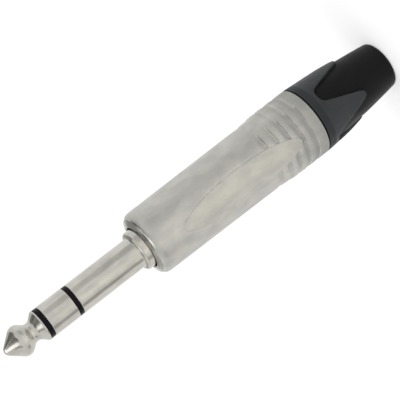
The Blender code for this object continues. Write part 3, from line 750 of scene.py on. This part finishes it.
def shell_radius(distance):
    """Outer radius of the shell without its grooves, behind the nose."""
    waist = SHELL_END - WAIST_TO_END
    if distance <= waist:
        start = SHELL_START + SHELL_NOSE_ROUND
        share = (distance - start) / (waist - start)
        return SHELL_NOSE_RADIUS + share * (SHELL_WAIST_RADIUS - SHELL_NOSE_RADIUS)
    share = min((distance - waist) / FLARE_LENGTH, 1.0)
    ease = share * share * (3 - 2 * share)
    return SHELL_WAIST_RADIUS + ease * (SHELL_GRIP_RADIUS - SHELL_WAIST_RADIUS)


def even_rows(start, end, step):
    """Distances from start up to end, without the end itself, about a step apart."""
    count = round((end - start) / step)
    return [start + (end - start) * row / count for row in range(count)]


def skin_distances():
    """Distances of the rows on the shell's outside, close where the detail is fine."""
    oval_start = OVAL_DISTANCE - OVAL_HALF_LENGTH
    first_groove = SHELL_END - RIB_TO_END - (RIB_COUNT - 1) * RIB_PITCH - GROOVE_LENGTH
    rows = even_rows(SHELL_START + FIRST_ROW, oval_start, ROW_STEP)
    rows += even_rows(oval_start, first_groove, FIELD_ROW_STEP)
    for index in reversed(range(RIB_COUNT)):
        edge = SHELL_END - RIB_TO_END - index * RIB_PITCH
        shares = [1 - row / GROOVE_ROWS for row in range(GROOVE_ROWS + 1)]
        rows += [edge - GROOVE_LENGTH * share ** GROOVE_CROWDING for share in shares]
        rows += [edge + (RIB_PITCH - GROOVE_LENGTH) * share for share in CREST_SHARES]
    return rows


print("rows on the shell's outside:", len(skin_distances()))

# %% [markdown]
# ## Grip ribs and the oval field
# On the real shell the die casts both forms. A Boolean cut would leave long thin faces
# that shade badly, so a second tree moves the turned skin inwards by a rule instead.
# It works out how far a point lies from the oval and how deep it lies in a groove. The
# grooves are deepest and their rear edges sharpest beside the field, as on the photo.

# %% Geometry Nodes: grip ribs and the oval field
SKIN_FROM = (THREAD_BORE + SHELL_NOSE_RADIUS) / 2
GROOVE_DEPTH = 0.27
GROOVE_EDGE = 0.22
FAR_EDGE_FACTOR = 3.0
FAR_DEPTH_SHARE = 0.3
FADE_START = 0.7
FADE_END = 0.86
LINE_DEPTH = 0.1
LINE_HALF_WIDTH = 0.12


def pressed_in(tree, source, geometry, place, radius, depth):
    """Last nodes of a tree that moves points towards the Z axis by a depth."""
    flat = add(tree, "ShaderNodeCombineXYZ", {0: place["X"], 1: place["Y"], 2: 0.0}).outputs[0]
    share = calc(tree, "DIVIDE", depth, radius)
    scale = {0: flat, "Scale": calc(tree, "MULTIPLY", share, -1.0)}
    back = add(tree, "ShaderNodeVectorMath", scale, operation="SCALE").outputs[0]
    moved = add(tree, "GeometryNodeSetPosition", {"Geometry": geometry, "Offset": back})
    return finished(tree, source, moved.outputs[0])


def build_grip():
    """Tree that presses the grip's grooves and the field's outline into the shell."""
    takes = {
        "Skin": ("geometry", None),
        "Skin From": ("float", SKIN_FROM * MM),
        "Shell Bottom": ("float", 0.0),
        "Rib Count": ("float", float(RIB_COUNT)),
        "Rib Pitch": ("float", RIB_PITCH * MM),
        "Rib To End": ("float", RIB_TO_END * MM),
        "Groove Length": ("float", GROOVE_LENGTH * MM),
        "Groove Edge": ("float", GROOVE_EDGE * MM),
        "Groove Depth": ("float", GROOVE_DEPTH * MM),
        "Far Edge Factor": ("float", FAR_EDGE_FACTOR),
        "Far Depth Share": ("float", FAR_DEPTH_SHARE),
        "Fade Start": ("float", FADE_START),
        "Fade End": ("float", FADE_END),
        "Oval Height": ("float", 0.0),
        "Half Length": ("float", OVAL_HALF_LENGTH * MM),
        "Half Width": ("float", OVAL_HALF_WIDTH * MM),
        "Line Depth": ("float", LINE_DEPTH * MM),
        "Line Half Width": ("float", LINE_HALF_WIDTH * MM),
        "Material": ("material", None),
    }
    tree, source, target = new_group("Grip and field", "GeometryNodeTree", takes, {"Skin": "geometry"})
    place = parts_of(tree, add(tree, "GeometryNodeInputPosition").outputs[0])
    radius = length_of(tree, place["X"], place["Y"])
    outside = calc(tree, "GREATER_THAN", radius, source["Skin From"])

    # How far a point lies outside the oval, measured square to its outline
    high = calc(tree, "SUBTRACT", place["Z"], source["Oval Height"])
    u = calc(tree, "DIVIDE", place["X"], source["Half Width"])
    v = calc(tree, "DIVIDE", high, source["Half Length"])
    reach = length_of(tree, u, v)
    slope_u = calc(tree, "DIVIDE", u, source["Half Width"])
    slope_v = calc(tree, "DIVIDE", v, source["Half Length"])
    steep = calc(tree, "MAXIMUM", length_of(tree, slope_u, slope_v), 1.0)
    gap = calc(tree, "DIVIDE", calc(tree, "MULTIPLY", calc(tree, "SUBTRACT", reach, 1.0), reach), steep)
    off_line = calc(tree, "DIVIDE", gap, source["Line Half Width"])
    line = ramp(tree, calc(tree, "ABSOLUTE", off_line), 0.0, 1.0, 1.0, 0.0)
    beyond = ramp(tree, off_line, 0.0, 1.0)

    # How far along a groove it lies, counted from the rib's rear edge
    last_edge = calc(tree, "ADD", source["Shell Bottom"], source["Rib To End"])
    from_end = calc(tree, "SUBTRACT", place["Z"], last_edge)
    turns = calc(tree, "DIVIDE", from_end, source["Rib Pitch"])
    index = calc(tree, "FLOOR", turns)
    along = calc(tree, "MULTIPLY", calc(tree, "SUBTRACT", turns, index), source["Rib Pitch"])
    not_behind = calc(tree, "GREATER_THAN", turns, 0.0)
    not_before = calc(tree, "LESS_THAN", turns, source["Rib Count"])

    # How deep the groove is there: it fades from beside the field to the grip's side
    sideways = calc(tree, "DIVIDE", calc(tree, "ABSOLUTE", place["X"]), radius)
    near = ramp(tree, sideways, source["Fade Start"], source["Fade End"], 1.0, 0.0)
    softer = ramp(tree, near, 0.0, 1.0, source["Far Edge Factor"], 1.0)
    edge = calc(tree, "MULTIPLY", softer, source["Groove Edge"])
    rise = ramp(tree, along, 0.0, edge)
    fall = ramp(tree, along, edge, source["Groove Length"], 1.0, 0.0)
    deep = ramp(tree, near, 0.0, 1.0, source["Far Depth Share"], 1.0)
    groove = product(tree, rise, fall, not_behind, not_before, deep, beyond, source["Groove Depth"])

    depth = calc(tree, "ADD", groove, calc(tree, "MULTIPLY", line, source["Line Depth"]))
    depth = calc(tree, "MULTIPLY", depth, outside)
    tree.links.new(pressed_in(tree, source, source["Skin"], place, radius, depth), target["Skin"])
    return tree


GRIP_AND_FIELD = build_grip()
print("nodes of the grip:", len(GRIP_AND_FIELD.nodes))

# %% Shell
SHELL_SIDES = 256
SHELL_CROWDING = 0.25


def make_shell():
    """Turned shell with its grip and its two oval fields."""
    bore_start = SHELL_START + SHELL_FRONT_WALL
    thread_start = SHELL_END - THREAD_BORE_LENGTH
    rows = [(shell_radius(distance), distance) for distance in skin_distances()]
    bend = (math.pi / 2 - FACE_ANGLE) / NOSE_STEPS
    nose = [nose_point(FACE_ANGLE + bend * step) for step in range(1, NOSE_STEPS + 1)]
    corners = [
        (OPENING_RADIUS, SHELL_START, OPENING_ROUND),
        (*nose_point(FACE_ANGLE), FACE_EDGE),
        *nose,
        *rows,
        (SHELL_GRIP_RADIUS, SHELL_END, SHELL_END_ROUND),
        (THREAD_BORE, SHELL_END, SHELL_END_ROUND),
        (THREAD_BORE, thread_start),
        (SHELL_BORE, thread_start),
        (SHELL_BORE, bore_start),
        (OPENING_RADIUS, bore_start),
    ]
    piece = outline_object("shell_skin", rounded(corners))
    add_tree(piece, TURNED_SKIN, Sides=SHELL_SIDES, Crowding=SHELL_CROWDING, Material=SATIN_NICKEL)
    places = {"Shell_Bottom": height(SHELL_END) * MM, "Oval_Height": height(OVAL_DISTANCE) * MM}
    add_tree(piece, GRIP_AND_FIELD, Material=SATIN_NICKEL, **places)
    stand_for(made_real(piece), "housing", "shell")


make_shell()

# %% [markdown]
# ## The boot
# The bushing is one hard moulding: a threaded spigot, a ring, and four prongs with
# rounded valleys between them. The soft gland fills it and comes through the valleys.
# Cutting the valleys out of a tube would leave ragged edges, so the mesh follows their
# line instead. One half of one prong is enough to model, because a tree mirrors it and
# sets the copies round the axis.

# %% Sizes of the boot
BUSHING_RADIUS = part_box("bushing")[1].x / MM
RING_END = GLAND_START - FIT
PRONG_COUNT = 4
PRONG_TURN = math.radians(-5)
PRONG_TAPER = 0.71
PRONG_END_RADIUS = BUSHING_RADIUS - PRONG_TAPER
PRONG_WALL = 0.6
PRONG_EDGE_ROUND = 0.16
RING_EDGE_ROUND = 0.2
SPIGOT_LENGTH = 8.0
SPIGOT_RADIUS = 6.4
SPIGOT_EDGE = 0.3
SEAT_RADIUS = 4.95
SEAT_LENGTH = 4.6
SEAT_DEPTH = 0.45
BUSHING_BORE = 5.75
GLAND_END_RADIUS = 4.86
GLAND_END_ROUND = 0.7
GLAND_BORE = 3.4
GLAND_LEAD_LENGTH = 4.0
GLAND_LEAD_WIDTH = 1.2
GLAND_CROWN = 0.05
GLAND_ROWS = 12


def bushing_radius(distance):
    """Outer radius of the bushing's ring and prongs."""
    share = (distance - BUSHING_START) / (PRONG_END - BUSHING_START)
    return BUSHING_RADIUS + share * (PRONG_END_RADIUS - BUSHING_RADIUS)


def gland_radius(distance):
    """Outer radius of the gland: under the prongs first, then tapering away."""
    recess = PRONG_WALL + FIT
    if distance <= PRONG_END:
        return bushing_radius(distance) - recess
    start = PRONG_END_RADIUS - recess
    share = (distance - PRONG_END) / (PLUG_LENGTH - PRONG_END)
    crown = 4 * GLAND_CROWN * share * (1 - share)
    return start + share * (GLAND_END_RADIUS - start) + crown


print(f"prongs end {PRONG_END:.2f} mm from the tip, {2 * PRONG_END_RADIUS:.2f} mm across")

# %% [markdown]
# ## The line between ring and prongs
# Seen from the side, the ring's lower edge runs down into a prong and round its tip in
# one smooth line. A picture could be traced for it, but five corners and three rounds
# give the same line in real sizes. Half of it, from a valley to a prong, is enough.

# %% The line between ring and prongs
VALLEY_HALF_WIDTH = 1.3
VALLEY_ROUND = 1.5
WAIST_HALF_WIDTH = 3.25
WAIST_TO_RING = 5.0
WAIST_ROUND = 8.0
PRONG_TIP_HALF_WIDTH = 1.4
PRONG_TIP_ROUND = 2.0
PRONG_TIP_BULGE = 0.12
OUTLINE_STEP = 0.32
HALF_SECTOR = math.pi / PRONG_COUNT


def evenly(points, step):
    """Points of a line with more put in, so that none are further apart than step."""
    dense = [points[0]]
    for before, after in zip(points, points[1:]):
        count = max(1, math.ceil((after - before).length / step))
        dense += [before.lerp(after, part / count) for part in range(1, count + 1)]
    return dense


def valley_outline():
    """Half of the line from the middle of a valley to the middle of a prong's tip."""
    half_gap = PRONG_END_RADIUS * math.tan(HALF_SECTOR)
    corners = [
        (0.0, RING_END),
        (VALLEY_HALF_WIDTH, RING_END, VALLEY_ROUND),
        (WAIST_HALF_WIDTH, RING_END + WAIST_TO_RING, WAIST_ROUND),
        (half_gap - PRONG_TIP_HALF_WIDTH, PRONG_END - PRONG_TIP_BULGE, PRONG_TIP_ROUND),
        (half_gap, PRONG_END),
    ]
    return evenly(rounded(corners, closed=False), OUTLINE_STEP)


print("points from valley to prong:", len(valley_outline()))

# %% [markdown]
# ## One column of the bushing
# A column of the bushing's mesh is a closed loop that starts at the top of the spigot,
# runs down its outside, over the ring and down to the line above. It turns in there
# with a small round, which is set square to the line, and comes back up the inside.
# All columns have as many points, so neighbours join into a clean grid.

# %% Half of one prong
SHEET_ROWS = 16
INSIDE_ROWS = 5
THREAD_PITCH = 1.0
ROWS_PER_PITCH = 10
FIRST_SPIGOT_ROW = 0.3
RIM_STEPS = 4
PRONG_ROOT = 0.05
ALONG_SHARE = 0.3


def on_bushing(angle, distance, depth=0.0):
    """Point at an angle from a valley's middle, at a depth under the outside."""
    radius = bushing_radius(distance) - depth
    return (radius * math.cos(angle), radius * math.sin(angle), height(distance))


def around(angle, points):
    """Places of an outline's points, set at one angle."""
    turn = Vector((math.cos(angle), math.sin(angle)))
    return [(point.x * turn.x, point.x * turn.y, height(point.y)) for point in points]


def top_of_column():
    """Points down the outside of the spigot and over the ring's edge."""
    start = BUSHING_START - SPIGOT_LENGTH
    count = round(SPIGOT_LENGTH / THREAD_PITCH * ROWS_PER_PITCH)
    shares = [(row + FIRST_SPIGOT_ROW) / (count + FIRST_SPIGOT_ROW) for row in range(count)]
    points = [Vector((SPIGOT_RADIUS - SPIGOT_EDGE, start))]
    points += [Vector((SPIGOT_RADIUS, start + SPIGOT_LENGTH * share)) for share in shares]
    ring = [
        (SPIGOT_RADIUS, BUSHING_START),
        (BUSHING_RADIUS, BUSHING_START, RING_EDGE_ROUND),
        (bushing_radius(RING_END), RING_END),
    ]
    return points + rounded(ring, closed=False)[:-1]


def prong_column(foot, inward, angle):
    """Closed loop of points through one point of the line between ring and prongs.

    foot is (angle, distance) on the line, inward is the direction into the plastic
    there as (sideways, along), and angle is the column's angle above the ring.
    """
    def near(offset):
        """(angle, distance) of the line, moved into the plastic."""
        turn = foot[0] + inward[0] * offset / bushing_radius(foot[1])
        return turn, foot[1] + inward[1] * offset

    column = around(angle, top_of_column())
    top = BUSHING_START + 2 * RING_EDGE_ROUND
    rim = near(PRONG_EDGE_ROUND)
    for row in range(1, SHEET_ROWS):
        share = row / SHEET_ROWS
        column.append(on_bushing(angle + share * (rim[0] - angle), top + share * (rim[1] - top)))
    for step in range(RIM_STEPS + 1):
        bend = math.pi / 2 * step / RIM_STEPS
        spot = near(PRONG_EDGE_ROUND * (1 - math.sin(bend)))
        column.append(on_bushing(*spot, PRONG_EDGE_ROUND * (1 - math.cos(bend))))
    root = RING_END - PRONG_ROOT
    for row in range(INSIDE_ROWS + 1):
        share = row / INSIDE_ROWS
        turn = foot[0] + share * (angle - foot[0])
        column.append(on_bushing(turn, foot[1] + share * (root - foot[1]), PRONG_WALL))
    seat_start = RING_END - SEAT_DEPTH
    inside = [
        (SEAT_RADIUS, root),
        (SEAT_RADIUS, seat_start),
        (BUSHING_BORE, seat_start - SEAT_LENGTH),
        (BUSHING_BORE, BUSHING_START - SPIGOT_LENGTH),
    ]
    return column + around(angle, [Vector(corner) for corner in inside])


def half_prong():
    """Columns of half a prong, from a valley's middle to the prong's middle.

    Above the ring, the columns are spread by their way along the line, on which a
    step along the plug counts for less than a step round it.
    """
    line = valley_outline()
    feet = [(math.atan2(point.x, PRONG_END_RADIUS), point.y) for point in line]
    feet[-1] = (HALF_SECTOR, PRONG_END)
    travel = [0.0]
    for before, after in zip(line, line[1:]):
        travel.append(travel[-1] + abs(after.x - before.x) + ALONG_SHARE * abs(after.y - before.y))
    columns = []
    for index, foot in enumerate(feet):
        before = feet[max(index - 1, 0)]
        after = feet[min(index + 1, len(feet) - 1)]
        along = Vector(((after[0] - before[0]) * bushing_radius(foot[1]), after[1] - before[1]))
        inward = Vector((along.y, -along.x)).normalized()
        if index in (0, len(feet) - 1):
            inward = Vector((0.0, -1.0))
        columns.append(prong_column(foot, inward, HALF_SECTOR * travel[index] / travel[-1]))
    return columns


def columns_object(name, columns):
    """Object whose mesh joins columns of points, each a closed loop, side by side."""
    rows = len(columns[0])
    points = [(x * MM, y * MM, z * MM) for column in columns for x, y, z in column]
    faces = []
    for side in range(len(columns) - 1):
        near, far = side * rows, (side + 1) * rows
        for row in range(rows):
            after = (row + 1) % rows
            faces.append((near + row, near + after, far + after, far + row))
    mesh = bpy.data.meshes.new(name)
    mesh.from_pydata(points, [], faces)
    return place_object(name, mesh)


# %% [markdown]
# ## Prongs all round, and the thread
# Two more trees finish the bushing. The first mirrors the half prong and puts copies
# on a few points, turned step by step. The second presses the thread in. A thread can
# be made with a Screw modifier as a piece of its own, but pressed into the spigot's
# rows it is one closed skin with it. It shows when the boot is unscrewed.

# %% Geometry Nodes: prongs round the axis
def build_round_the_axis():
    """Tree that mirrors half a sector and sets copies of it round the Z axis."""
    takes = {
        "Half": ("geometry", None),
        "Count": ("int", PRONG_COUNT),
        "First Turn": ("float", 0.0),
        "Material": ("material", None),
    }
    tree, source, target = new_group("Round the axis", "GeometryNodeTree", takes, {"Whole": "geometry"})
    mirror = add(tree, "GeometryNodeTransform", {"Geometry": source["Half"], "Scale": (1.0, -1.0, 1.0)})
    flipped = add(tree, "GeometryNodeFlipFaces", {0: mirror.outputs[0]})
    whole = add(tree, "GeometryNodeJoinGeometry", {0: source["Half"]})
    tree.links.new(flipped.outputs[0], whole.inputs[0])
    spots = add(tree, "GeometryNodePoints", {"Count": source["Count"]})
    step = calc(tree, "DIVIDE", math.tau, source["Count"])
    index = add(tree, "GeometryNodeInputIndex").outputs[0]
    turn = calc(tree, "ADD", calc(tree, "MULTIPLY", index, step), source["First Turn"])
    rotation = add(tree, "ShaderNodeCombineXYZ", {2: turn}).outputs[0]
    copies = {"Points": spots.outputs[0], "Instance": whole.outputs[0], "Rotation": rotation}
    placed = add(tree, "GeometryNodeInstanceOnPoints", copies).outputs[0]
    tree.links.new(finished(tree, source, placed, merged=True), target["Whole"])
    return tree


ROUND_THE_AXIS = build_round_the_axis()
print("nodes of the sectors:", len(ROUND_THE_AXIS.nodes))

# %% Geometry Nodes: the thread
THREAD_DEPTH = 0.35
THREAD_INSET = 0.3
THREAD_FADE = 0.5
ROOT_SHARE = 0.06
FLANK_SHARE = 0.44
CREST_FIT = 0.02


def build_thread():
    """Tree that presses a right-handed thread into a plain spigot."""
    takes = {
        "Spigot": ("geometry", None),
        "Pitch": ("float", THREAD_PITCH * MM),
        "Depth": ("float", THREAD_DEPTH * MM),
        "Radius": ("float", SPIGOT_RADIUS * MM),
        "Fade": ("float", THREAD_FADE * MM),
        "Lower End": ("float", 0.0),
        "Upper End": ("float", 1.0),
        "Material": ("material", None),
    }
    tree, source, target = new_group("Thread", "GeometryNodeTree", takes, {"Spigot": "geometry"})
    place = parts_of(tree, add(tree, "GeometryNodeInputPosition").outputs[0])
    radius = length_of(tree, place["X"], place["Y"])
    turns = calc(tree, "DIVIDE", calc(tree, "ARCTAN2", place["Y"], place["X"]), math.tau)
    pitches = calc(tree, "DIVIDE", place["Z"], source["Pitch"])
    phase = calc(tree, "FRACT", calc(tree, "SUBTRACT", pitches, turns))
    off_root = calc(tree, "ABSOLUTE", calc(tree, "SUBTRACT", phase, 0.5))
    shape = ramp(tree, off_root, ROOT_SHARE, FLANK_SHARE, 1.0, 0.0, smooth=False)
    on_crest = calc(tree, "COMPARE", radius, source["Radius"], CREST_FIT * MM)
    low = ramp(tree, calc(tree, "SUBTRACT", place["Z"], source["Lower End"]), 0.0, source["Fade"])
    high = ramp(tree, calc(tree, "SUBTRACT", source["Upper End"], place["Z"]), 0.0, source["Fade"])
    depth = product(tree, shape, on_crest, low, high, source["Depth"])
    tree.links.new(pressed_in(tree, source, source["Spigot"], place, radius, depth), target["Spigot"])
    return tree


THREAD = build_thread()
print("nodes of the thread:", len(THREAD.nodes))

# %% Bushing
def make_bushing():
    """Threaded spigot, ring and four prongs in one piece."""
    piece = columns_object("bushing_skin", half_prong())
    first = PRONG_TURN + HALF_SECTOR
    add_tree(piece, ROUND_THE_AXIS, Count=PRONG_COUNT, First_Turn=first, Material=BUSHING_PLASTIC)
    low = height(BUSHING_START - THREAD_INSET) * MM
    high = height(BUSHING_START - SPIGOT_LENGTH + THREAD_INSET) * MM
    add_tree(piece, THREAD, Lower_End=low, Upper_End=high, Material=BUSHING_PLASTIC)
    stand_for(made_real(piece), "boot", "bushing")


make_bushing()

# %% [markdown]
# ## The gland
# The gland is moulded into the bushing and grips the cable. It is round all over, so
# one turned outline makes it. Under the prongs it keeps to their taper, behind them
# it swells by a hair, and its end is rounded over to the cable's passage.

# %% Gland
def make_gland():
    """Soft boot inside the prongs, with its end round and the cable's passage."""
    shares = [row / GLAND_ROWS for row in range(GLAND_ROWS - 1)]
    tail = [PRONG_END + (PLUG_LENGTH - PRONG_END) * share for share in shares]
    corners = [
        (gland_radius(GLAND_START), GLAND_START, EDGE_ROUND),
        *[(gland_radius(distance), distance) for distance in tail],
        (GLAND_END_RADIUS, PLUG_LENGTH, GLAND_END_ROUND),
        (GLAND_BORE, PLUG_LENGTH, 2 * EDGE_ROUND),
        (GLAND_BORE, GLAND_START + GLAND_LEAD_LENGTH),
        (GLAND_BORE + GLAND_LEAD_WIDTH, GLAND_START),
    ]
    stand_for(turned("gland_skin", rounded(corners), GLAND_PLASTIC), "boot", "gland")


make_gland()

# %% [markdown]
# ## What lies inside
# The terminals are punched from tinned brass, and the insert and the chuck are moulded.
# They show only through the cable's passage, so finer skins for them would be wasted.
# They keep the model's own meshes and get real finishes.

# %% Inside pieces
TINNED_SHADES = ((0.6, 0.56, 0.43), (0.66, 0.63, 0.54))
TINNED_ROUGHNESS = (0.3, 0.42)


def make_tinned_brass():
    """Tinned brass of the solder tags."""
    material, tree, shader = start_material("tinned_brass", Metallic=1.0)
    tint = place_group(tree, SMUDGES, Size=1.5, Stretch=1.0)
    tree.links.new(blend_colours(tree, tint, *TINNED_SHADES), shader.inputs["Base Color"])
    tree.links.new(ramp(tree, tint, 0.0, 1.0, *TINNED_ROUGHNESS), shader.inputs["Roughness"])
    bump(tree, shader, place_group(tree, FINE_GRAIN, Scale=4.0), depth=0.004)
    return material


TINNED_BRASS = make_tinned_brass()
INSERT_PLASTIC = make_plastic(
    "insert_plastic",
    shades=((0.028, 0.028, 0.03), (0.034, 0.034, 0.036)),
    roughness=(0.45, 0.55),
    grain=5.0,
    depth=0.006,
)
CHUCK_PLASTIC = make_plastic(
    "chuck_plastic",
    shades=((0.58, 0.58, 0.54), (0.62, 0.62, 0.58)),
    roughness=(0.4, 0.48),
    grain=5.0,
    depth=0.004,
)
INSIDE = {
    "sleeve_terminal": TINNED_BRASS,
    "ring_terminal": TINNED_BRASS,
    "tip_terminal": TINNED_BRASS,
    "insert_body": INSERT_PLASTIC,
    "rear_washer": RING_PLASTIC,
    "chuck": CHUCK_PLASTIC,
}
for node, material in INSIDE.items():
    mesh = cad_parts[node].data
    mesh.materials.clear()
    mesh.materials.append(material)
print("inside pieces:", len(INSIDE))

# %% [markdown]
# ## Light
# The studio is white all round, so satin metal shows an even silver. What gives round
# metal its form is what it mirrors, and so cards stand round the plug, as on a
# photographer's table. Strips beside it draw long soft bands on the finger and the
# shell, cards above give the tip its dark facets and the nose its white arc, one
# behind darkens the faces that look along the axis, and one below the grip deepens its
# grooves. Only mirrored rays see the cards, and only dull surfaces see the two lamps.
# The floor and the sky are plain white to the camera.

# %% World and floor
WHITE = (1.0, 1.0, 1.0, 1.0)
FLOOR_RADIUS = 3000.0
FLOOR_SIDES = 96
FLOOR_COLOUR = (0.8, 0.8, 0.8, 1.0)
FLOOR_GLOW = 0.42
SKY_SEEN = 1.0
SKY_LIGHT = 0.75


def seen_directly(tree):
    """Mask of the rays that show a background: the camera's, mirrored and let through."""
    path = add(tree, "ShaderNodeLightPath").outputs
    seen = calc(tree, "MAXIMUM", path["Is Camera Ray"], path["Is Glossy Ray"])
    return calc(tree, "MAXIMUM", seen, path["Is Transmission Ray"])


def make_world():
    """White all round, and a little lower as a light on dull surfaces."""
    world = bpy.data.worlds.new("studio")
    world.use_nodes = True
    bpy.context.scene.world = world
    tree = world.node_tree
    background = tree.nodes["Background"]
    background.inputs["Color"].default_value = WHITE
    level = ramp(tree, seen_directly(tree), 0.0, 1.0, SKY_LIGHT, SKY_SEEN, smooth=False)
    tree.links.new(level, background.inputs["Strength"])


def mesh_from(cage, name):
    """Mesh with what a bmesh holds. The bmesh is freed."""
    mesh = bpy.data.meshes.new(name)
    cage.to_mesh(mesh)
    cage.free()
    return mesh


def make_floor():
    """Large round floor that the plug stands on."""
    cage = bmesh.new()
    bmesh.ops.create_circle(cage, cap_ends=True, segments=FLOOR_SIDES, radius=FLOOR_RADIUS * MM)
    floor = place_object("floor", mesh_from(cage, "floor"))
    plain = {"Base_Color": FLOOR_COLOUR, "Roughness": 0.9, "Specular_IOR_Level": 0.0}
    material, tree, shader = start_material("floor_white", Emission_Color=WHITE, **plain)
    glow = calc(tree, "MULTIPLY", seen_directly(tree), FLOOR_GLOW)
    tree.links.new(glow, shader.inputs["Emission Strength"])
    floor.data.materials.append(material)


make_world()
make_floor()
print(f"floor {2 * FLOOR_RADIUS * MM:.0f} m across")

# %% Cards and lamps
CARD_EDGE = 0.55
# Name, azimuth and elevation seen from the plug, distance, width, height, brightness, warmth
CARDS = [
    ("end_face_card", 100.0, 32.0, 600.0, 700.0, 520.0, 0.36, 0.06),
    ("top_card", 0.0, 82.0, 300.0, 320.0, 320.0, 2.3, 0.0),
    ("under_card", 0.0, -90.0, 28.0, 60.0, 60.0, 0.64, 0.0),
    ("dark_strip", -20.0, -12.0, 70.0, 76.0, 140.0, 0.74, 0.0),
    ("bright_strip", -94.0, -12.0, 70.0, 50.0, 140.0, 1.24, 0.08),
    ("thin_dark_strip", -141.0, 14.0, 70.0, 42.0, 66.0, 0.55, 0.06),
    ("tip_card", 36.0, 47.0, 229.0, 250.0, 150.0, 0.2, 0.0),
    ("high_tip_card", -22.0, 63.0, 238.0, 240.0, 130.0, 0.2, 0.0),
    ("low_tip_card", -122.0, 62.0, 236.0, 56.0, 120.0, 0.3, 0.0),
]
# Name, azimuth, elevation, distance, size, radiance
LAMPS = [
    ("left_lamp", -150.0, 35.0, 600.0, 300.0, 1.2),
    ("right_lamp", 0.0, 40.0, 600.0, 260.0, 1.2),
]


def facing_the_plug(azimuth, elevation, distance):
    """Matrix of a place round the plug's middle, with its Z axis away from the plug."""
    turn = math.radians(azimuth)
    rise = math.radians(elevation)
    level = math.cos(rise)
    away = Vector((level * math.cos(turn), level * math.sin(turn), math.sin(rise)))
    middle = Vector((0.0, 0.0, AIM_HEIGHT))
    place = Matrix.Translation((middle + away * distance) * MM)
    return place @ away.to_track_quat("Z", "Y").to_matrix().to_4x4()


def make_card_material(name, width, tall, brightness, warmth):
    """Glow of a card, which fades out towards its edges."""
    material = bpy.data.materials.new(name)
    material.use_nodes = True
    tree = material.node_tree
    tree.nodes.remove(tree.nodes["Principled BSDF"])
    spot = parts_of(tree, object_place(tree))
    masks = []
    for axis, size in (("X", width), ("Y", tall)):
        share = calc(tree, "DIVIDE", calc(tree, "ABSOLUTE", spot[axis]), size * MM / 2)
        masks.append(ramp(tree, share, 1.0 - CARD_EDGE, 1.0, 1.0, 0.0))
    clear = add(tree, "ShaderNodeBsdfTransparent").outputs[0]
    colour = (1.0, 1.0 - warmth / 3, 1.0 - warmth, 1.0)
    lit = add(tree, "ShaderNodeEmission", {"Color": colour, "Strength": brightness}).outputs[0]
    mix = add(tree, "ShaderNodeMixShader", {0: product(tree, *masks), 1: clear, 2: lit})
    tree.links.new(mix.outputs[0], tree.nodes["Material Output"].inputs["Surface"])
    return material


def make_card(name, azimuth, elevation, distance, width, tall, brightness, warmth):
    """Card that only mirrored rays see."""
    cage = bmesh.new()
    bmesh.ops.create_grid(cage, x_segments=1, y_segments=1, size=0.5)
    bmesh.ops.scale(cage, vec=(width * MM, tall * MM, 1.0), verts=cage.verts)
    card = place_object(name, mesh_from(cage, name))
    card.matrix_world = facing_the_plug(azimuth, elevation, distance)
    card.visible_camera = False
    card.visible_diffuse = False
    card.visible_shadow = False
    card.visible_transmission = False
    card.data.materials.append(make_card_material(name, width, tall, brightness, warmth))


def make_lamp(name, azimuth, elevation, distance, size, radiance):
    """Soft square lamp, aimed at the plug's middle, of a given brightness."""
    data = bpy.data.lights.new(name, "AREA")
    data.shape = "SQUARE"
    data.size = size * MM
    data.energy = radiance * math.pi * (size * MM) ** 2
    lamp = place_object(name, data)
    lamp.matrix_world = facing_the_plug(azimuth, elevation, distance)
    lamp.visible_glossy = False


for card in CARDS:
    make_card(*card)
for lamp in LAMPS:
    make_lamp(*lamp)
print("cards:", len(CARDS), "lamps:", len(LAMPS))
